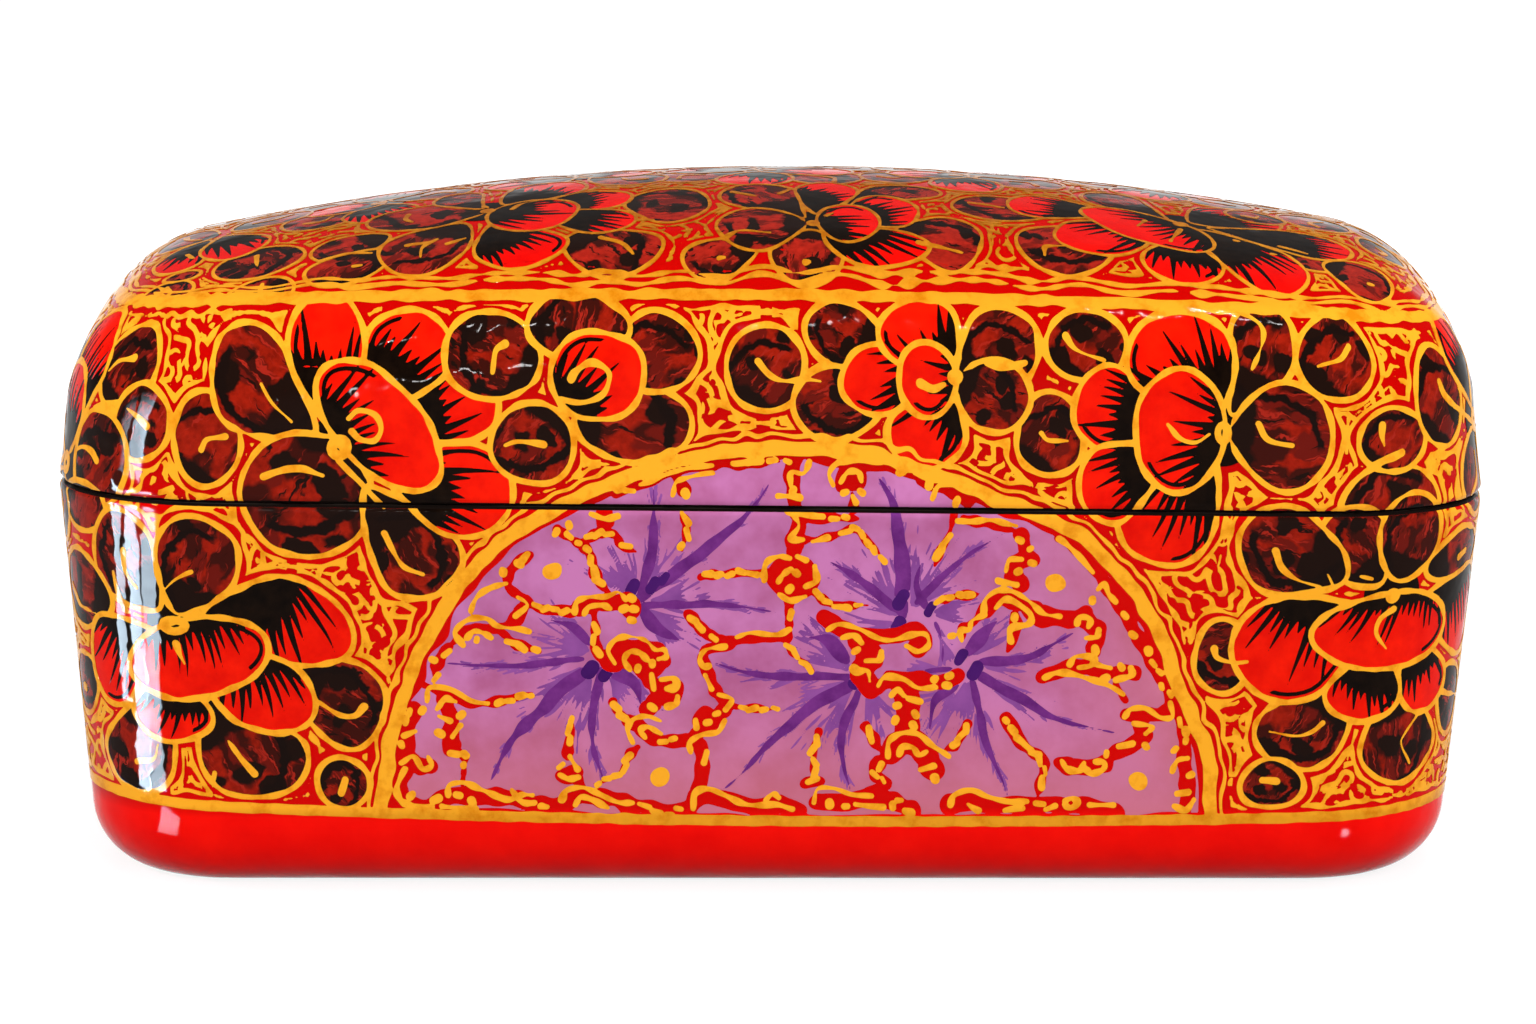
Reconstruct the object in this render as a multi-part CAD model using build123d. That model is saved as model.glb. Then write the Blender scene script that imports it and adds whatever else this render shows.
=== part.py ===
from build123d import *
import os

# An oblong papier mache box with a lift-off domed lid.
# Paper is pasted round one former into a closed box, which is then sawn in two along its widest line. A thin strip
# of board, glued inside the lower half, stands above its rim and keeps the lid in place.
# Millimetres. +Z is up, X runs along the box, its front faces -Y, and the origin is on the table under its middle.

os.makedirs("parts", exist_ok=True)

# Plan of the box at the seam, its widest line
seam_length = 152.0
seam_depth = 76.0
seam_corner_radius = 19.0

# Lower half
seam_height = 41.6  # from the table to the seam, at the middle of the box
base_draft = 4.8  # degrees that the walls lean in towards the foot
foot_radius = 7.5  # round of the edge that the box stands on

# Upper half
lid_draft = 6.5  # degrees that the walls lean in towards the crown
shoulder_radius = 15.5  # round between the walls and the crown
crown_height = 31.4  # from the seam to the top of the crown
crown_radius_along = 320.0  # the crown's curve from end to end
crown_radius_across = 90.0  # the crown's curve from front to back
crown_shift = 2.0  # the hand-shaped crown is highest a little to one side
crown_sweep = 60.0  # degrees of the long curve, which reach past both ends of the box

# Paper walls and the sawn seam
wall = 3.4
lip_radius = 0.8  # the sawn outer edges are rubbed round before painting
lid_mouth_radius = 0.5  # the lid's inner edge is eased, so that it finds the strip
saw_tilt = 0.55  # degrees that the seam runs out of level along the box

# Strip of board inside the mouth
collar_thickness = 1.8  # at its lower edge
collar_glued_depth = 8.0
collar_stand = 4.5  # above the seam
collar_clearance = 0.35  # between the strip and the lid's wall
collar_edge_radius = 0.5
collar_butt_gap = 0.4  # where the two ends of the strip meet, at the back

# The plane that the box is sawn on: both halves and the strip are laid out from it
seam_plane = Plane(origin=(0, 0, seam_height)).rotated((0, saw_tilt, 0))
seam_axis = Axis(seam_plane.origin, seam_plane.z_dir)

# A block this large reaches past the whole box on every side
block_length = 2 * seam_length
block_depth = 2 * seam_depth
block_height = 2 * (seam_height + crown_height)


def outline(inset):
    """The box's rounded outline on the seam's plane, moved in by inset."""
    return seam_plane * RectangleRounded(
        seam_length - 2 * inset, seam_depth - 2 * inset, seam_corner_radius - inset
    )


def block_above(plane):
    """A block with its lower face on a plane."""
    return plane * Box(block_length, block_depth, block_height, align=(Align.CENTER, Align.CENTER, Align.MIN))


def lower_form(inset):
    """The solid lower half, with its walls, floor and foot round moved in by inset."""
    walls = extrude(outline(inset), amount=-block_height, taper=base_draft)
    standing = walls & block_above(Plane.XY.offset(inset))
    floor = standing.faces().sort_by(Axis.Z)[0]
    return fillet(floor.edges(), foot_radius - inset)


def crown_form(inset):
    """A block under the crown's face, which curves both ways and is moved in by inset."""
    across = crown_radius_across - inset
    top = seam_height + crown_height - inset
    dome = Pos(0, top - across) * Circle(across)
    band = Pos(0, top) * Rectangle(block_depth, block_height)
    section = Plane.YZ.offset(crown_shift) * (dome & band)
    pivot = Axis((crown_shift, 0, seam_height + crown_height - crown_radius_along), (0, 1, 0))
    return revolve(section.rotate(pivot, -crown_sweep / 2), pivot, crown_sweep)


def upper_form(inset):
    """The solid upper half, with its walls, shoulder and crown moved in by inset."""
    walls = extrude(outline(inset), amount=block_height / 2, taper=lid_draft)
    domed = walls & crown_form(inset)
    crown = domed.faces().sort_by(Axis.Z)[-1]
    return fillet(crown.edges(), shoulder_radius - inset)


def seam_edges(form):
    """The edges of a solid half that lie on the seam."""
    return form.edges().filter_by(lambda edge: abs(seam_plane.to_local_coords(edge.center()).Z) < 0.001)


def lower_half():
    """The base: its solid form with a rounded lip, hollowed by the wall."""
    solid = lower_form(0)
    return fillet(seam_edges(solid), lip_radius) - lower_form(wall)


def upper_half():
    """The lid: its solid form with a rounded lip, hollowed by the wall and eased at the mouth."""
    solid = upper_form(0)
    hollow = upper_form(wall)
    hollowed = fillet(seam_edges(solid), lip_radius) - hollow
    mouth = [edge for edge in seam_edges(hollowed) if hollow.distance_to(edge.center()) < 0.001]
    return fillet(mouth, lid_mouth_radius)


def strip():
    """The board strip: glued to the base's wall below the seam, and just clear of the lid's wall above it."""
    glued = lower_form(wall) & block_above(seam_plane.offset(-collar_glued_depth))
    standing = upper_form(wall + collar_clearance) - block_above(seam_plane.offset(collar_stand))
    lower_face = glued.faces().sort_by(seam_axis)[0]
    bore = extrude(offset(lower_face, -collar_thickness), block_height, dir=seam_plane.z_dir)
    ring = glued + standing - bore
    upper_face = ring.faces().sort_by(seam_axis)[-1]
    eased = fillet(upper_face.edges(), collar_edge_radius)
    butt = Pos(0, seam_depth / 2, seam_height) * Box(collar_butt_gap, seam_depth / 2, block_height)
    return eased - butt


def write(node, piece):
    """Writes one node and says how large it is."""
    export_step(piece, f"parts/{node}.step")
    size = piece.bounding_box().size
    print(f"{node}: {size.X:.1f} x {size.Y:.1f} x {size.Z:.1f} mm, {piece.volume / 1000:.1f} cm3")


write("base_shell", lower_half())
write("lid_shell", upper_half())
write("locating_collar", strip())
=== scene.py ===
# %% [markdown]
# # A Kashmiri papier mache box
# The real box is two paper shells and a strip of board. Their shapes come from the CAD frame. What Blender
# adds is everything that the painter adds: the red ground, the gold-outlined flowers, the gold lace between
# them, the lilac panel on the long sides and the deep clear lacquer over it all.

# %% Load the frame
import math
import random

import bpy
import numpy as np
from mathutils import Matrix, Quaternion, Vector, geometry
from mathutils.bvhtree import BVHTree


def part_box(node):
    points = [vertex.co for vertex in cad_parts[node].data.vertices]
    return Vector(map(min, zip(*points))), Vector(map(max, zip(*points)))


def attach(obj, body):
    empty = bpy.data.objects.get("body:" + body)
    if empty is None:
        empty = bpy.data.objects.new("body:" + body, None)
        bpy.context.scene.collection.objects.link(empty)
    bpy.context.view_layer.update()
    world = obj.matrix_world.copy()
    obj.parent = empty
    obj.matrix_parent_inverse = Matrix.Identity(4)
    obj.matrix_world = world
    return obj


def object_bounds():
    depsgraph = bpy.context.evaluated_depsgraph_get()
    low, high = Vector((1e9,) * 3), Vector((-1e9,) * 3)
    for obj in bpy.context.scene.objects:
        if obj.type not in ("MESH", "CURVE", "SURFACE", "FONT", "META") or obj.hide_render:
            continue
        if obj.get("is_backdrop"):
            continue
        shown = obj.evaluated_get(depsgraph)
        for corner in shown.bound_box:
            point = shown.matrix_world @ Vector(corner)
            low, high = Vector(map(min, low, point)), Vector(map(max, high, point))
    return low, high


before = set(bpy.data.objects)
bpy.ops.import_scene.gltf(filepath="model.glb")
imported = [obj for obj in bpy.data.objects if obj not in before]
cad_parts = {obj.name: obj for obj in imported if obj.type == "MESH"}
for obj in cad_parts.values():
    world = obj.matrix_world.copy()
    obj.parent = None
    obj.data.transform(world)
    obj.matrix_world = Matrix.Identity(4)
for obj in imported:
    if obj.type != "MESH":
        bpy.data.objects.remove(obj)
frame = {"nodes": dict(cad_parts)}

cad_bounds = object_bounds()
print("nodes:", ", ".join(frame["nodes"]))

# %% [markdown]
# ## Sizes
# The paint is laid out in millimetres, as a painter would measure it, so one number turns millimetres into
# Blender's metres. The length and the depth are read from the frame. The corner's radius and the seam's place
# are the ones that the shells are made to. The seam was sawn by hand and rises a little to the left.

# %% Sizes of the box
MM = 0.001
base_low, base_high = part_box("base_shell")
lid_low, lid_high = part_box("lid_shell")
half_length = (base_high[0] - base_low[0]) / 2 / MM
half_depth = (base_high[1] - base_low[1]) / 2 / MM
corner_radius = 19.0
seam_height = 41.6
seam_tilt = 0.55
seam_slope = math.tan(math.radians(seam_tilt))
flat_half = half_length - corner_radius
end_flat = 2 * (half_depth - corner_radius)
corner_run = math.pi / 2 * corner_radius
girth = 4 * flat_half + 2 * end_flat + 4 * corner_run
half_girth = girth / 2
print(f"box {2 * half_length:.1f} x {2 * half_depth:.1f} mm, {girth:.1f} mm round the seam")
print(f"lid from {lid_low[2] / MM:.1f} to {lid_high[2] / MM:.1f} mm above the table")

# %% [markdown]
# ## Camera
# A product photographer stands back and uses a long lens, so that a small box keeps its shape. The camera
# looks slightly down on the front from about half a metre away.

# %% Camera
camera_distance = 471.3
camera_rise = 0.1712
frame_width = 1536
focal_pixels = 4630.9
sensor_width = 36.0
front_face = -38.0
aim = Vector((-0.25, front_face, 41.3)) * MM
eye = Vector((0.0, front_face - camera_distance, seam_height + camera_rise * camera_distance)) * MM
lens = bpy.data.cameras.new("lens")
lens.sensor_width = sensor_width
lens.lens = focal_pixels / frame_width * sensor_width
lens.clip_start = 0.01
camera = bpy.data.objects.new("camera", lens)
camera.location = eye
camera.rotation_euler = (aim - eye).to_track_quat("-Z", "Y").to_euler()
bpy.context.scene.collection.objects.link(camera)
bpy.context.scene.camera = camera
bpy.context.scene.view_settings.view_transform = "Standard"
print(f"lens {lens.lens:.0f} mm, camera {(eye - aim).length:.3f} m away")

# %% [markdown]
# ## Floor and light
# A glossy box shows its surroundings as much as its own paint. It stands on a pale floor in front of a
# white backdrop, and both are mirrored in it. Large soft lamps light it from all round, but they are left
# out of the mirror. Only a tall window on the left and a few small far lamps show there. High up the room
# is dim, so that black paint stays black and the top of the lid turns pale only where it is seen nearly
# edge on.
#
# The white of the floor and of the room is seen by the camera and in mirrors, and lights nothing. So the
# box can have a white background and still be lit by its lamps alone.

# %% Small helpers for node materials
def new_material(name):
    """An empty node material with one Principled shader, and short ways to reach its parts."""
    material = bpy.data.materials.new(name)
    material.use_nodes = True
    shader = material.node_tree.nodes["Principled BSDF"]
    return material, material.node_tree, shader


def node(tree, kind, **values):
    """Adds a shader node and sets its plain properties and its named input values."""
    made = tree.nodes.new(kind)
    for key, value in values.items():
        if key in made.inputs:
            made.inputs[key].default_value = value
        else:
            setattr(made, key, value)
    return made


def join(tree, operation, *inputs):
    """One Math node. Each input is a number or the output of another node, and the result is an output."""
    made = node(tree, "ShaderNodeMath", operation=operation)
    for socket, value in zip(made.inputs, inputs):
        if isinstance(value, (int, float)):
            socket.default_value = value
        else:
            tree.links.new(value, socket)
    return made.outputs["Value"]


def ramp(tree, value, low, high, start=0.0, end=1.0):
    """A number that goes from start to end while a value goes from low to high."""
    limits = {"From Min": low, "From Max": high, "To Min": start, "To Max": end}
    spread = node(tree, "ShaderNodeMapRange", **limits)
    tree.links.new(value, spread.inputs["Value"])
    return spread.outputs["Result"]


def seen(tree, in_mirror):
    """One for rays from the camera, a given value for mirrored and transmitted rays, and nought for
    others."""
    path = node(tree, "ShaderNodeLightPath")
    mirrored = join(tree, "MAXIMUM", path.outputs["Is Glossy Ray"], path.outputs["Is Transmission Ray"])
    return join(tree, "MAXIMUM", path.outputs["Is Camera Ray"], join(tree, "MULTIPLY", mirrored, in_mirror))


# %% Floor
def pale_floor():
    """A pale matt sheet that reaches past the picture. Most of its white is only for the eye and for
    mirrors."""
    reach = 6.0
    corners = [(-reach, -reach, 0), (reach, -reach, 0), (reach, reach, 0), (-reach, reach, 0)]
    mesh = bpy.data.meshes.new("floor")
    mesh.from_pydata(corners, [], [(0, 1, 2, 3)])
    floor = bpy.data.objects.new("floor", mesh)
    bpy.context.scene.collection.objects.link(floor)
    material, tree, shader = new_material("pale floor")
    shader.inputs["Base Color"].default_value = (0.2, 0.2, 0.2, 1)
    shader.inputs["Roughness"].default_value = 0.9
    shader.inputs["Specular IOR Level"].default_value = 0.0
    place = node(tree, "ShaderNodeTexCoord")
    away = node(tree, "ShaderNodeVectorMath", operation="LENGTH")
    tree.links.new(place.outputs["Object"], away.inputs[0])
    white = ramp(tree, away.outputs["Value"], 0.15, 0.6, 0.86, 1.0)
    tree.links.new(join(tree, "MULTIPLY", seen(tree, 1.0), white), shader.inputs["Emission Strength"])
    shader.inputs["Emission Color"].default_value = (1, 1, 1, 1)
    mesh.materials.append(material)
    floor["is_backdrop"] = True
    print(f"floor {2 * reach:.0f} m wide")


pale_floor()


# %% Soft lamps all round
def soft_lamp(name, place, target, size, power, colour=(1, 1, 1), mirrored=True, lights=True, roll=0.0,
              spread=180):
    """A rectangular soft lamp turned towards a target. It can be left out of the lacquer's reflections, or
    be only a card that the lacquer reflects. A spread under 180 degrees dims what is seen of it from the
    side."""
    lamp = bpy.data.lights.new(name, "AREA")
    lamp.shape = "RECTANGLE"
    lamp.size, lamp.size_y = size
    lamp.energy = power
    lamp.color = colour
    lamp.spread = math.radians(spread)
    holder = bpy.data.objects.new(name, lamp)
    holder.location = place
    aimed = (Vector(target) - Vector(place)).to_track_quat("-Z", "Y")
    holder.rotation_euler = (aimed @ Quaternion((0, 0, 1), math.radians(roll))).to_euler()
    holder.visible_camera = False
    holder.visible_glossy = mirrored
    holder.visible_diffuse = lights
    bpy.context.scene.collection.objects.link(holder)


# place in metres, width and height in metres, power in watts
FILLS = {"front fill": ((0.15, -1.15, 0.52), (1.1, 0.95), 17.2),
         "left fill": ((-1.2, -0.15, 0.5), (0.8, 0.8), 9.5),
         "right fill": ((1.2, 0.1, 0.5), (0.8, 0.8), 9.0), "back fill": ((0.1, 1.2, 0.55), (1.0, 0.9), 11.0),
         "overhead": ((0.0, 0.0, 1.3), (1.0, 0.8), 7.2)}
box_middle = (0, 0, 0.04)
for name, (place, size, power) in FILLS.items():
    soft_lamp(name, place, box_middle, size, power, mirrored=False)
print("soft lamps:", ", ".join(FILLS))

# %% [markdown]
# The window is a handful of bright cards that stand upright round the left front corner. They are seen in
# mirrored rays only and light nothing. A card that can be seen from all sides would flare in the lacquer at
# a glancing angle, from behind for instance. So each card shines in a cone, as a window does that is set
# deep in its wall.

# %% The window
sky = (0.68, 0.85, 1.0)


def level_way(turn):
    """The level direction at an angle in degrees, where 0 is the back and 90 the right."""
    return Vector((math.sin(math.radians(turn)), math.cos(math.radians(turn)), 0.0))


def card(name, place, facing, wide, bright, foot, top, cone, roll=0.0):
    """A bright card that stands upright near the box and shows in the lacquer only. A narrow cone gathers the
    light, so the card needs less power to be as bright."""
    half_cone = math.radians(cone)
    gathered = math.tan(half_cone) / (math.tan(half_cone) - half_cone)
    size = (wide * MM, (top - foot) * MM)
    centre = place + Vector((0, 0, (foot + top) / 2 * MM))
    power = bright * math.pi * size[0] * size[1] / gathered
    soft_lamp(name, centre, centre - level_way(facing), size, power, sky, lights=False, roll=roll,
              spread=2 * cone)


# For each pane: the direction in which it stands from the corner and the one that it faces, in degrees,
# then the width, the brightness, the lowest and the highest edge, and half the angle of its cone.
PANES = [
    (-96, -96, 4.0, 280.0, 12.0, 44.0, 42), (-111, -111, 6.5, 480.0, 2.0, 44.0, 42),
    (-111, -111, 4.5, 1150.0, 1.0, 18.0, 42), (-127, -127, 6.0, 380.0, 1.0, 44.0, 42),
    (-106, -128, 5.0, 330.0, 46.0, 71.0, 26), (-121, -128, 6.0, 400.0, 46.0, 71.0, 26)]
corner = Vector((-66.0, -34.0, 0.0)) * MM
window_gap = 26.0 * MM
pane_roll = -7
for count, (turn, *pane) in enumerate(PANES):
    card(f"pane {count + 1}", corner + window_gap * level_way(turn), *pane, roll=pane_roll)

# The sill throws a little of the same light on the red foot, at its left corner and at its right one.
card("sill left", Vector((-70.3, -38.6, 0)) * MM, -128, 4.2, 210.0, 0.6, 5.4, 42, roll=-24)
card("sill right", Vector((64.2, -39.3, 0)) * MM, 142, 1.8, 330.0, 1.6, 4.2, 42)
print(f"{len(PANES)} panes and 2 sill cards")

# %% Small far lamps, for the short bright marks on the shoulder
# direction from the box, and width in metres
SPARKS = [
    ((0.02, -0.77, 0.63), 0.02), ((-0.17, -0.68, 0.71), 0.016), ((0.265, -0.27, 0.925), 0.035),
    ((0.20, -0.42, 0.88), 0.02), ((-0.136, -0.957, 0.255), 0.02)]
spark_distance = 1.2
spark_height = 0.03
spark_brightness = 250
sparkling = Vector((0.02, -0.036, 0.058))
for count, (way, wide) in enumerate(SPARKS):
    place = Vector(way) * spark_distance + sparkling
    power = spark_brightness * math.pi * wide * spark_height
    soft_lamp(f"far lamp {count + 1}", place, place - Vector(way), (wide, spark_height), power, lights=False)
print(len(SPARKS), "far lamps")

# %% The room
world = bpy.data.worlds.new("room")
bpy.context.scene.world = world
world.use_nodes = True
room = world.node_tree
background = room.nodes["Background"]
direction = node(room, "ShaderNodeTexCoord")
sides = node(room, "ShaderNodeSeparateXYZ")
room.links.new(direction.outputs["Generated"], sides.inputs["Vector"])
backdrop = ramp(room, sides.outputs["Z"], 0.1, 0.32, 1.0, 0.12)
room.links.new(ramp(room, seen(room, backdrop), 0, 1, 0.07, 1.0), background.inputs["Strength"])
background.inputs["Color"].default_value = (1, 1, 1, 1)
print(f"room lit by {len(bpy.data.lights)} lamps and cards")

# %% [markdown]
# ## Flat charts of the curved box
# A painter works round the box, but it is easier to plan the flowers on flat charts and then wrap them on.
# There are two charts. The wall chart is a strip: along it runs the distance round the seam, starting from
# the middle of the front, and up it runs the height above or below the seam. The crown chart looks straight
# down on the lid. Rays are cast at the CAD shells on a fine grid once, and every painted point is then
# looked up between those hits.

# %% Where a point of the wall chart lies
def seam_outline(along):
    """The point of the seam's outline, and the outward direction there, for a distance round the box in
    mm."""
    along = (along + half_girth) % girth - half_girth
    side = 1 if along >= 0 else -1
    run = abs(along)
    if run <= flat_half:
        point, outward = (run, -half_depth), (0, -1)
    elif run <= flat_half + corner_run:
        turn = (run - flat_half) / corner_radius
        outward = (math.sin(turn), -math.cos(turn))
        point = (flat_half + corner_radius * outward[0],
                 corner_radius - half_depth + corner_radius * outward[1])
    elif run <= flat_half + corner_run + end_flat:
        point, outward = (half_length, corner_radius - half_depth + run - flat_half - corner_run), (1, 0)
    elif run <= flat_half + 2 * corner_run + end_flat:
        turn = (run - flat_half - corner_run - end_flat) / corner_radius
        outward = (math.cos(turn), math.sin(turn))
        point = (flat_half + corner_radius * outward[0],
                 half_depth - corner_radius + corner_radius * outward[1])
    else:
        point, outward = (flat_half - (run - flat_half - 2 * corner_run - end_flat), half_depth), (0, 1)
    return (side * point[0], point[1]), (side * outward[0], outward[1])


class Shell:
    """One CAD shell, ready to be hit by rays."""

    def __init__(self, name):
        self.mesh = frame["nodes"][name].data
        self.mesh.calc_loop_triangles()
        self.corners = [tuple(t.vertices) for t in self.mesh.loop_triangles]
        self.loops = [tuple(t.loops) for t in self.mesh.loop_triangles]
        self.tree = BVHTree.FromPolygons([v.co for v in self.mesh.vertices], self.corners)

    def hit(self, start, direction):
        """Where a ray first meets the shell, and the smooth normal there."""
        place, _, index, _ = self.tree.ray_cast(start, direction)
        if place is None:
            return None
        a, b, c = (self.mesh.vertices[v].co for v in self.corners[index])
        na, nb, nc = (self.mesh.corner_normals[v].vector for v in self.loops[index])
        normal = geometry.barycentric_transform(place, a, b, c, na, nb, nc)
        return place, normal.normalized()


shells = {"base": Shell("base_shell"), "lid": Shell("lid_shell")}


# %% Survey the shells
class Survey:
    """Places and normals on a grid of chart points, read smoothly in between."""

    def __init__(self, across, up, cast):
        self.across, self.up = across, up
        self.grid = np.zeros((len(up), len(across), 6))
        last = np.zeros(6)
        for i, v in enumerate(up):
            for j, u in enumerate(across):
                found = cast(u, v)
                if found is not None:
                    last = np.array((*found[0], *found[1]))
                self.grid[i, j] = last

    def look_up(self, u, v):
        """Places and normals for arrays of chart points."""
        x = np.interp(u, self.across, np.arange(len(self.across)))
        y = np.interp(v, self.up, np.arange(len(self.up)))
        x0 = np.clip(x.astype(int), 0, len(self.across) - 2)
        y0 = np.clip(y.astype(int), 0, len(self.up) - 2)
        fx, fy = (x - x0)[:, None], (y - y0)[:, None]
        g = self.grid
        low = g[y0, x0] * (1 - fx) + g[y0, x0 + 1] * fx
        high = g[y0 + 1, x0] * (1 - fx) + g[y0 + 1, x0 + 1] * fx
        read = low * (1 - fy) + high * fy
        normals = read[:, 3:] / np.linalg.norm(read[:, 3:], axis=1, keepdims=True)
        return read[:, :3], normals


clear = 9
far_above = 200


def cast_at_wall(shell):
    """A function that casts a level ray inwards at a point of the wall chart."""

    def cast(along, height):
        (x, y), (out_x, out_y) = seam_outline(along)
        start = (x + clear * out_x, y + clear * out_y, seam_height - seam_slope * x + height)
        return shell.hit(Vector(start) * MM, Vector((-out_x, -out_y, 0)))

    return cast


def cast_at_crown(x, y):
    """Casts a ray straight down at a point of the crown chart."""
    return shells["lid"].hit(Vector((x, y, far_above)) * MM, Vector((0, 0, -1)))


lip_steps = np.array([0.04, 0.1, 0.16, 0.22, 0.3, 0.4, 0.5, 0.65, 0.8, 1.0])
along_steps = np.linspace(-half_girth, half_girth, 780)
lid_steps = np.concatenate([lip_steps, np.arange(1.5, 23.6, 0.5)])
base_steps = -np.concatenate([lip_steps, np.arange(1.5, 38.6, 0.5)])[::-1]
surveys = {
    "lid": Survey(along_steps, lid_steps, cast_at_wall(shells["lid"])),
    "base": Survey(along_steps, base_steps, cast_at_wall(shells["base"])),
    "crown": Survey(np.arange(-72, 72.1, 0.6), np.arange(-36, 36.1, 0.6), cast_at_crown),
}
print("surveyed", sum(s.grid.shape[0] * s.grid.shape[1] for s in surveys.values()), "points")

# %% [markdown]
# ## Sheets of paint
# Each colour is laid out on a flat sheet as a field: a number at every point of a fine grid that says how
# many millimetres that point is inside the paint. Fields make painting simple, because laying a shape over
# another is only a minimum and a maximum. The zero line of the field is the edge of the paint.

# %% Soft random fields
def ripples(shape, step, wavelength, seed):
    """A smooth random field with one main wavelength in mm, which repeats along the sheet. Its spread is
    1."""
    rows, columns = shape
    source = np.random.default_rng(seed).standard_normal((rows, columns - 1))
    waves = np.fft.rfft2(source)
    up = np.fft.fftfreq(rows, step)[:, None]
    along = np.fft.rfftfreq(columns - 1, step)[None, :]
    waves *= np.exp(-(((np.hypot(along, up) * wavelength) - 1) / 0.4) ** 2)
    field = np.fft.irfft2(waves, (rows, columns - 1))
    field = np.concatenate([field, field[:, :1]], axis=1)
    return field / field.std()


# %% Distances to a drawn line
def stroke_field(x, y, path, widths, closed=False):
    """How far inside a stroke each point is. The stroke's half width changes along the path."""
    path = [tuple(p) for p in path]
    widths = np.broadcast_to(np.asarray(widths, float), (len(path),)).tolist()
    if closed:
        path, widths = path + path[:1], widths + widths[:1]
    best = np.full(x.shape, -99.0)
    for (ax, ay), (bx, by), wide_a, wide_b in zip(path, path[1:], widths, widths[1:]):
        dx, dy = bx - ax, by - ay
        t = np.clip(((x - ax) * dx + (y - ay) * dy) / (dx * dx + dy * dy + 1e-9), 0, 1)
        gap = np.hypot(x - ax - t * dx, y - ay - t * dy)
        np.maximum(best, wide_a + t * (wide_b - wide_a) - gap, out=best)
    return best


def area_field(x, y, outline):
    """How far inside a closed outline each point is, and less than nought outside."""
    gap = -stroke_field(x, y, outline, 0.0, closed=True)
    inside = np.zeros(x.shape, bool)
    for (ax, ay), (bx, by) in zip(outline, np.roll(outline, -1, axis=0)):
        if ay != by:
            inside ^= ((ay > y) != (by > y)) & (x < (bx - ax) * (y - ay) / (by - ay) + ax)
    return np.where(inside, gap, -gap)


def smooth_path(points, steps=6):
    """A rounded line through the points of a path."""
    p = np.asarray(points, float)
    p = np.vstack([2 * p[0] - p[1], p, 2 * p[-1] - p[-2]])
    out = []
    for a, b, c, d in zip(p, p[1:], p[2:], p[3:]):
        for t in np.arange(steps) / steps:
            out.append(0.5 * (2 * b + (c - a) * t + (2 * a - 5 * b + 4 * c - d) * t**2
                              + (3 * b - a - 3 * c + d) * t**3))
    out.append(p[-2])
    return np.array(out)


def read_field(field, u, v, points):
    """The field's value at any points, read smoothly from its grid."""
    x = np.clip((points[:, 0] - u[0]) / (u[1] - u[0]), 0, len(u) - 1.001)
    y = np.clip((points[:, 1] - v[0]) / (v[1] - v[0]), 0, len(v) - 1.001)
    j, i = x.astype(int), y.astype(int)
    fx, fy = x - j, y - i
    low = field[i, j] * (1 - fx) + field[i, j + 1] * fx
    return low * (1 - fy) + (field[i + 1, j] * (1 - fx) + field[i + 1, j + 1] * fx) * fy


# %% A sheet with its paints
INKS = ("gold", "black", "lilac", "violet", "hairs", "dabs")
FAR = 9.0


class Sheet:
    """A flat sheet of paint fields. Shapes near its left or right end come round again at the other end."""

    def __init__(self, left, right, low, high, step, seed, repeats, line_width):
        self.u = np.linspace(left, right, round((right - left) / step) + 1)
        self.v = np.linspace(low, high, round((high - low) / step) + 1)
        self.period = (right - left) if repeats else None
        self.line_width = line_width
        self.step = self.u[1] - self.u[0]
        shape = (len(self.v), len(self.u))
        self.paint = {ink: np.full(shape, -FAR) for ink in INKS}
        self.free = np.full(shape, FAR)
        flat_u, flat_v = np.meshgrid(self.u, self.v)
        self.hand_u = flat_u + 0.1 * ripples(shape, self.step, 9.0, seed)
        self.hand_v = flat_v + 0.1 * ripples(shape, self.step, 9.0, seed + 1)
        self.press = ripples(shape, self.step, 3.0, seed + 2)
        self.petals = []

    def places(self, points, margin):
        """The windows of the sheet that hold a set of points, each with the shift along the sheet."""
        points = np.asarray(points)
        low, high = points.min(0) - margin, points.max(0) + margin
        for shift in (0,) if self.period is None else (-self.period, 0, self.period):
            j = np.searchsorted(self.u, (low[0] + shift, high[0] + shift))
            i = np.searchsorted(self.v, (low[1], high[1]))
            if j[1] - j[0] > 2 and i[1] - i[0] > 2:
                yield (slice(*i), slice(*j)), shift

    def lay(self, ink, points, margin, make):
        """Adds paint: make(x, y) gives the field of the new stroke."""
        for window, shift in self.places(points, margin):
            new = make(self.hand_u[window] - shift, self.hand_v[window])
            np.maximum(self.paint[ink][window], new, out=self.paint[ink][window])

    def stroke(self, ink, path, widths, inside=None):
        """Paints one stroke, kept inside another field where one is given."""
        for window, shift in self.places(path, 2.5):
            x, y = self.hand_u[window] - shift, self.hand_v[window]
            new = stroke_field(x, y, path, widths) + 0.05 * self.press[window]
            if inside is not None:
                new = np.minimum(new, inside[window])
            np.maximum(self.paint[ink][window], new, out=self.paint[ink][window])


grid_step = 0.15
crown_long, crown_deep = 72, 36
wall = Sheet(-half_girth / 2, half_girth / 2, -34.6, 22.6, grid_step, seed=11, repeats=True,
             line_width=0.62)
crown = Sheet(-crown_long, crown_long, -crown_deep, crown_deep, grid_step, seed=31, repeats=False,
              line_width=0.4)
print("wall sheet", wall.free.shape, "crown sheet", crown.free.shape)

# %% [markdown]
# ## Petals
# Every flower is built in the same way as on the real box. Dark brown petals go down first, then red ones
# over them, and the oval middle petal last. Each petal is an oval whose near side is drawn out towards the
# knot of the flower. A petal that is laid on top hides the gold lines and the black of whatever is under
# it.

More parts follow.
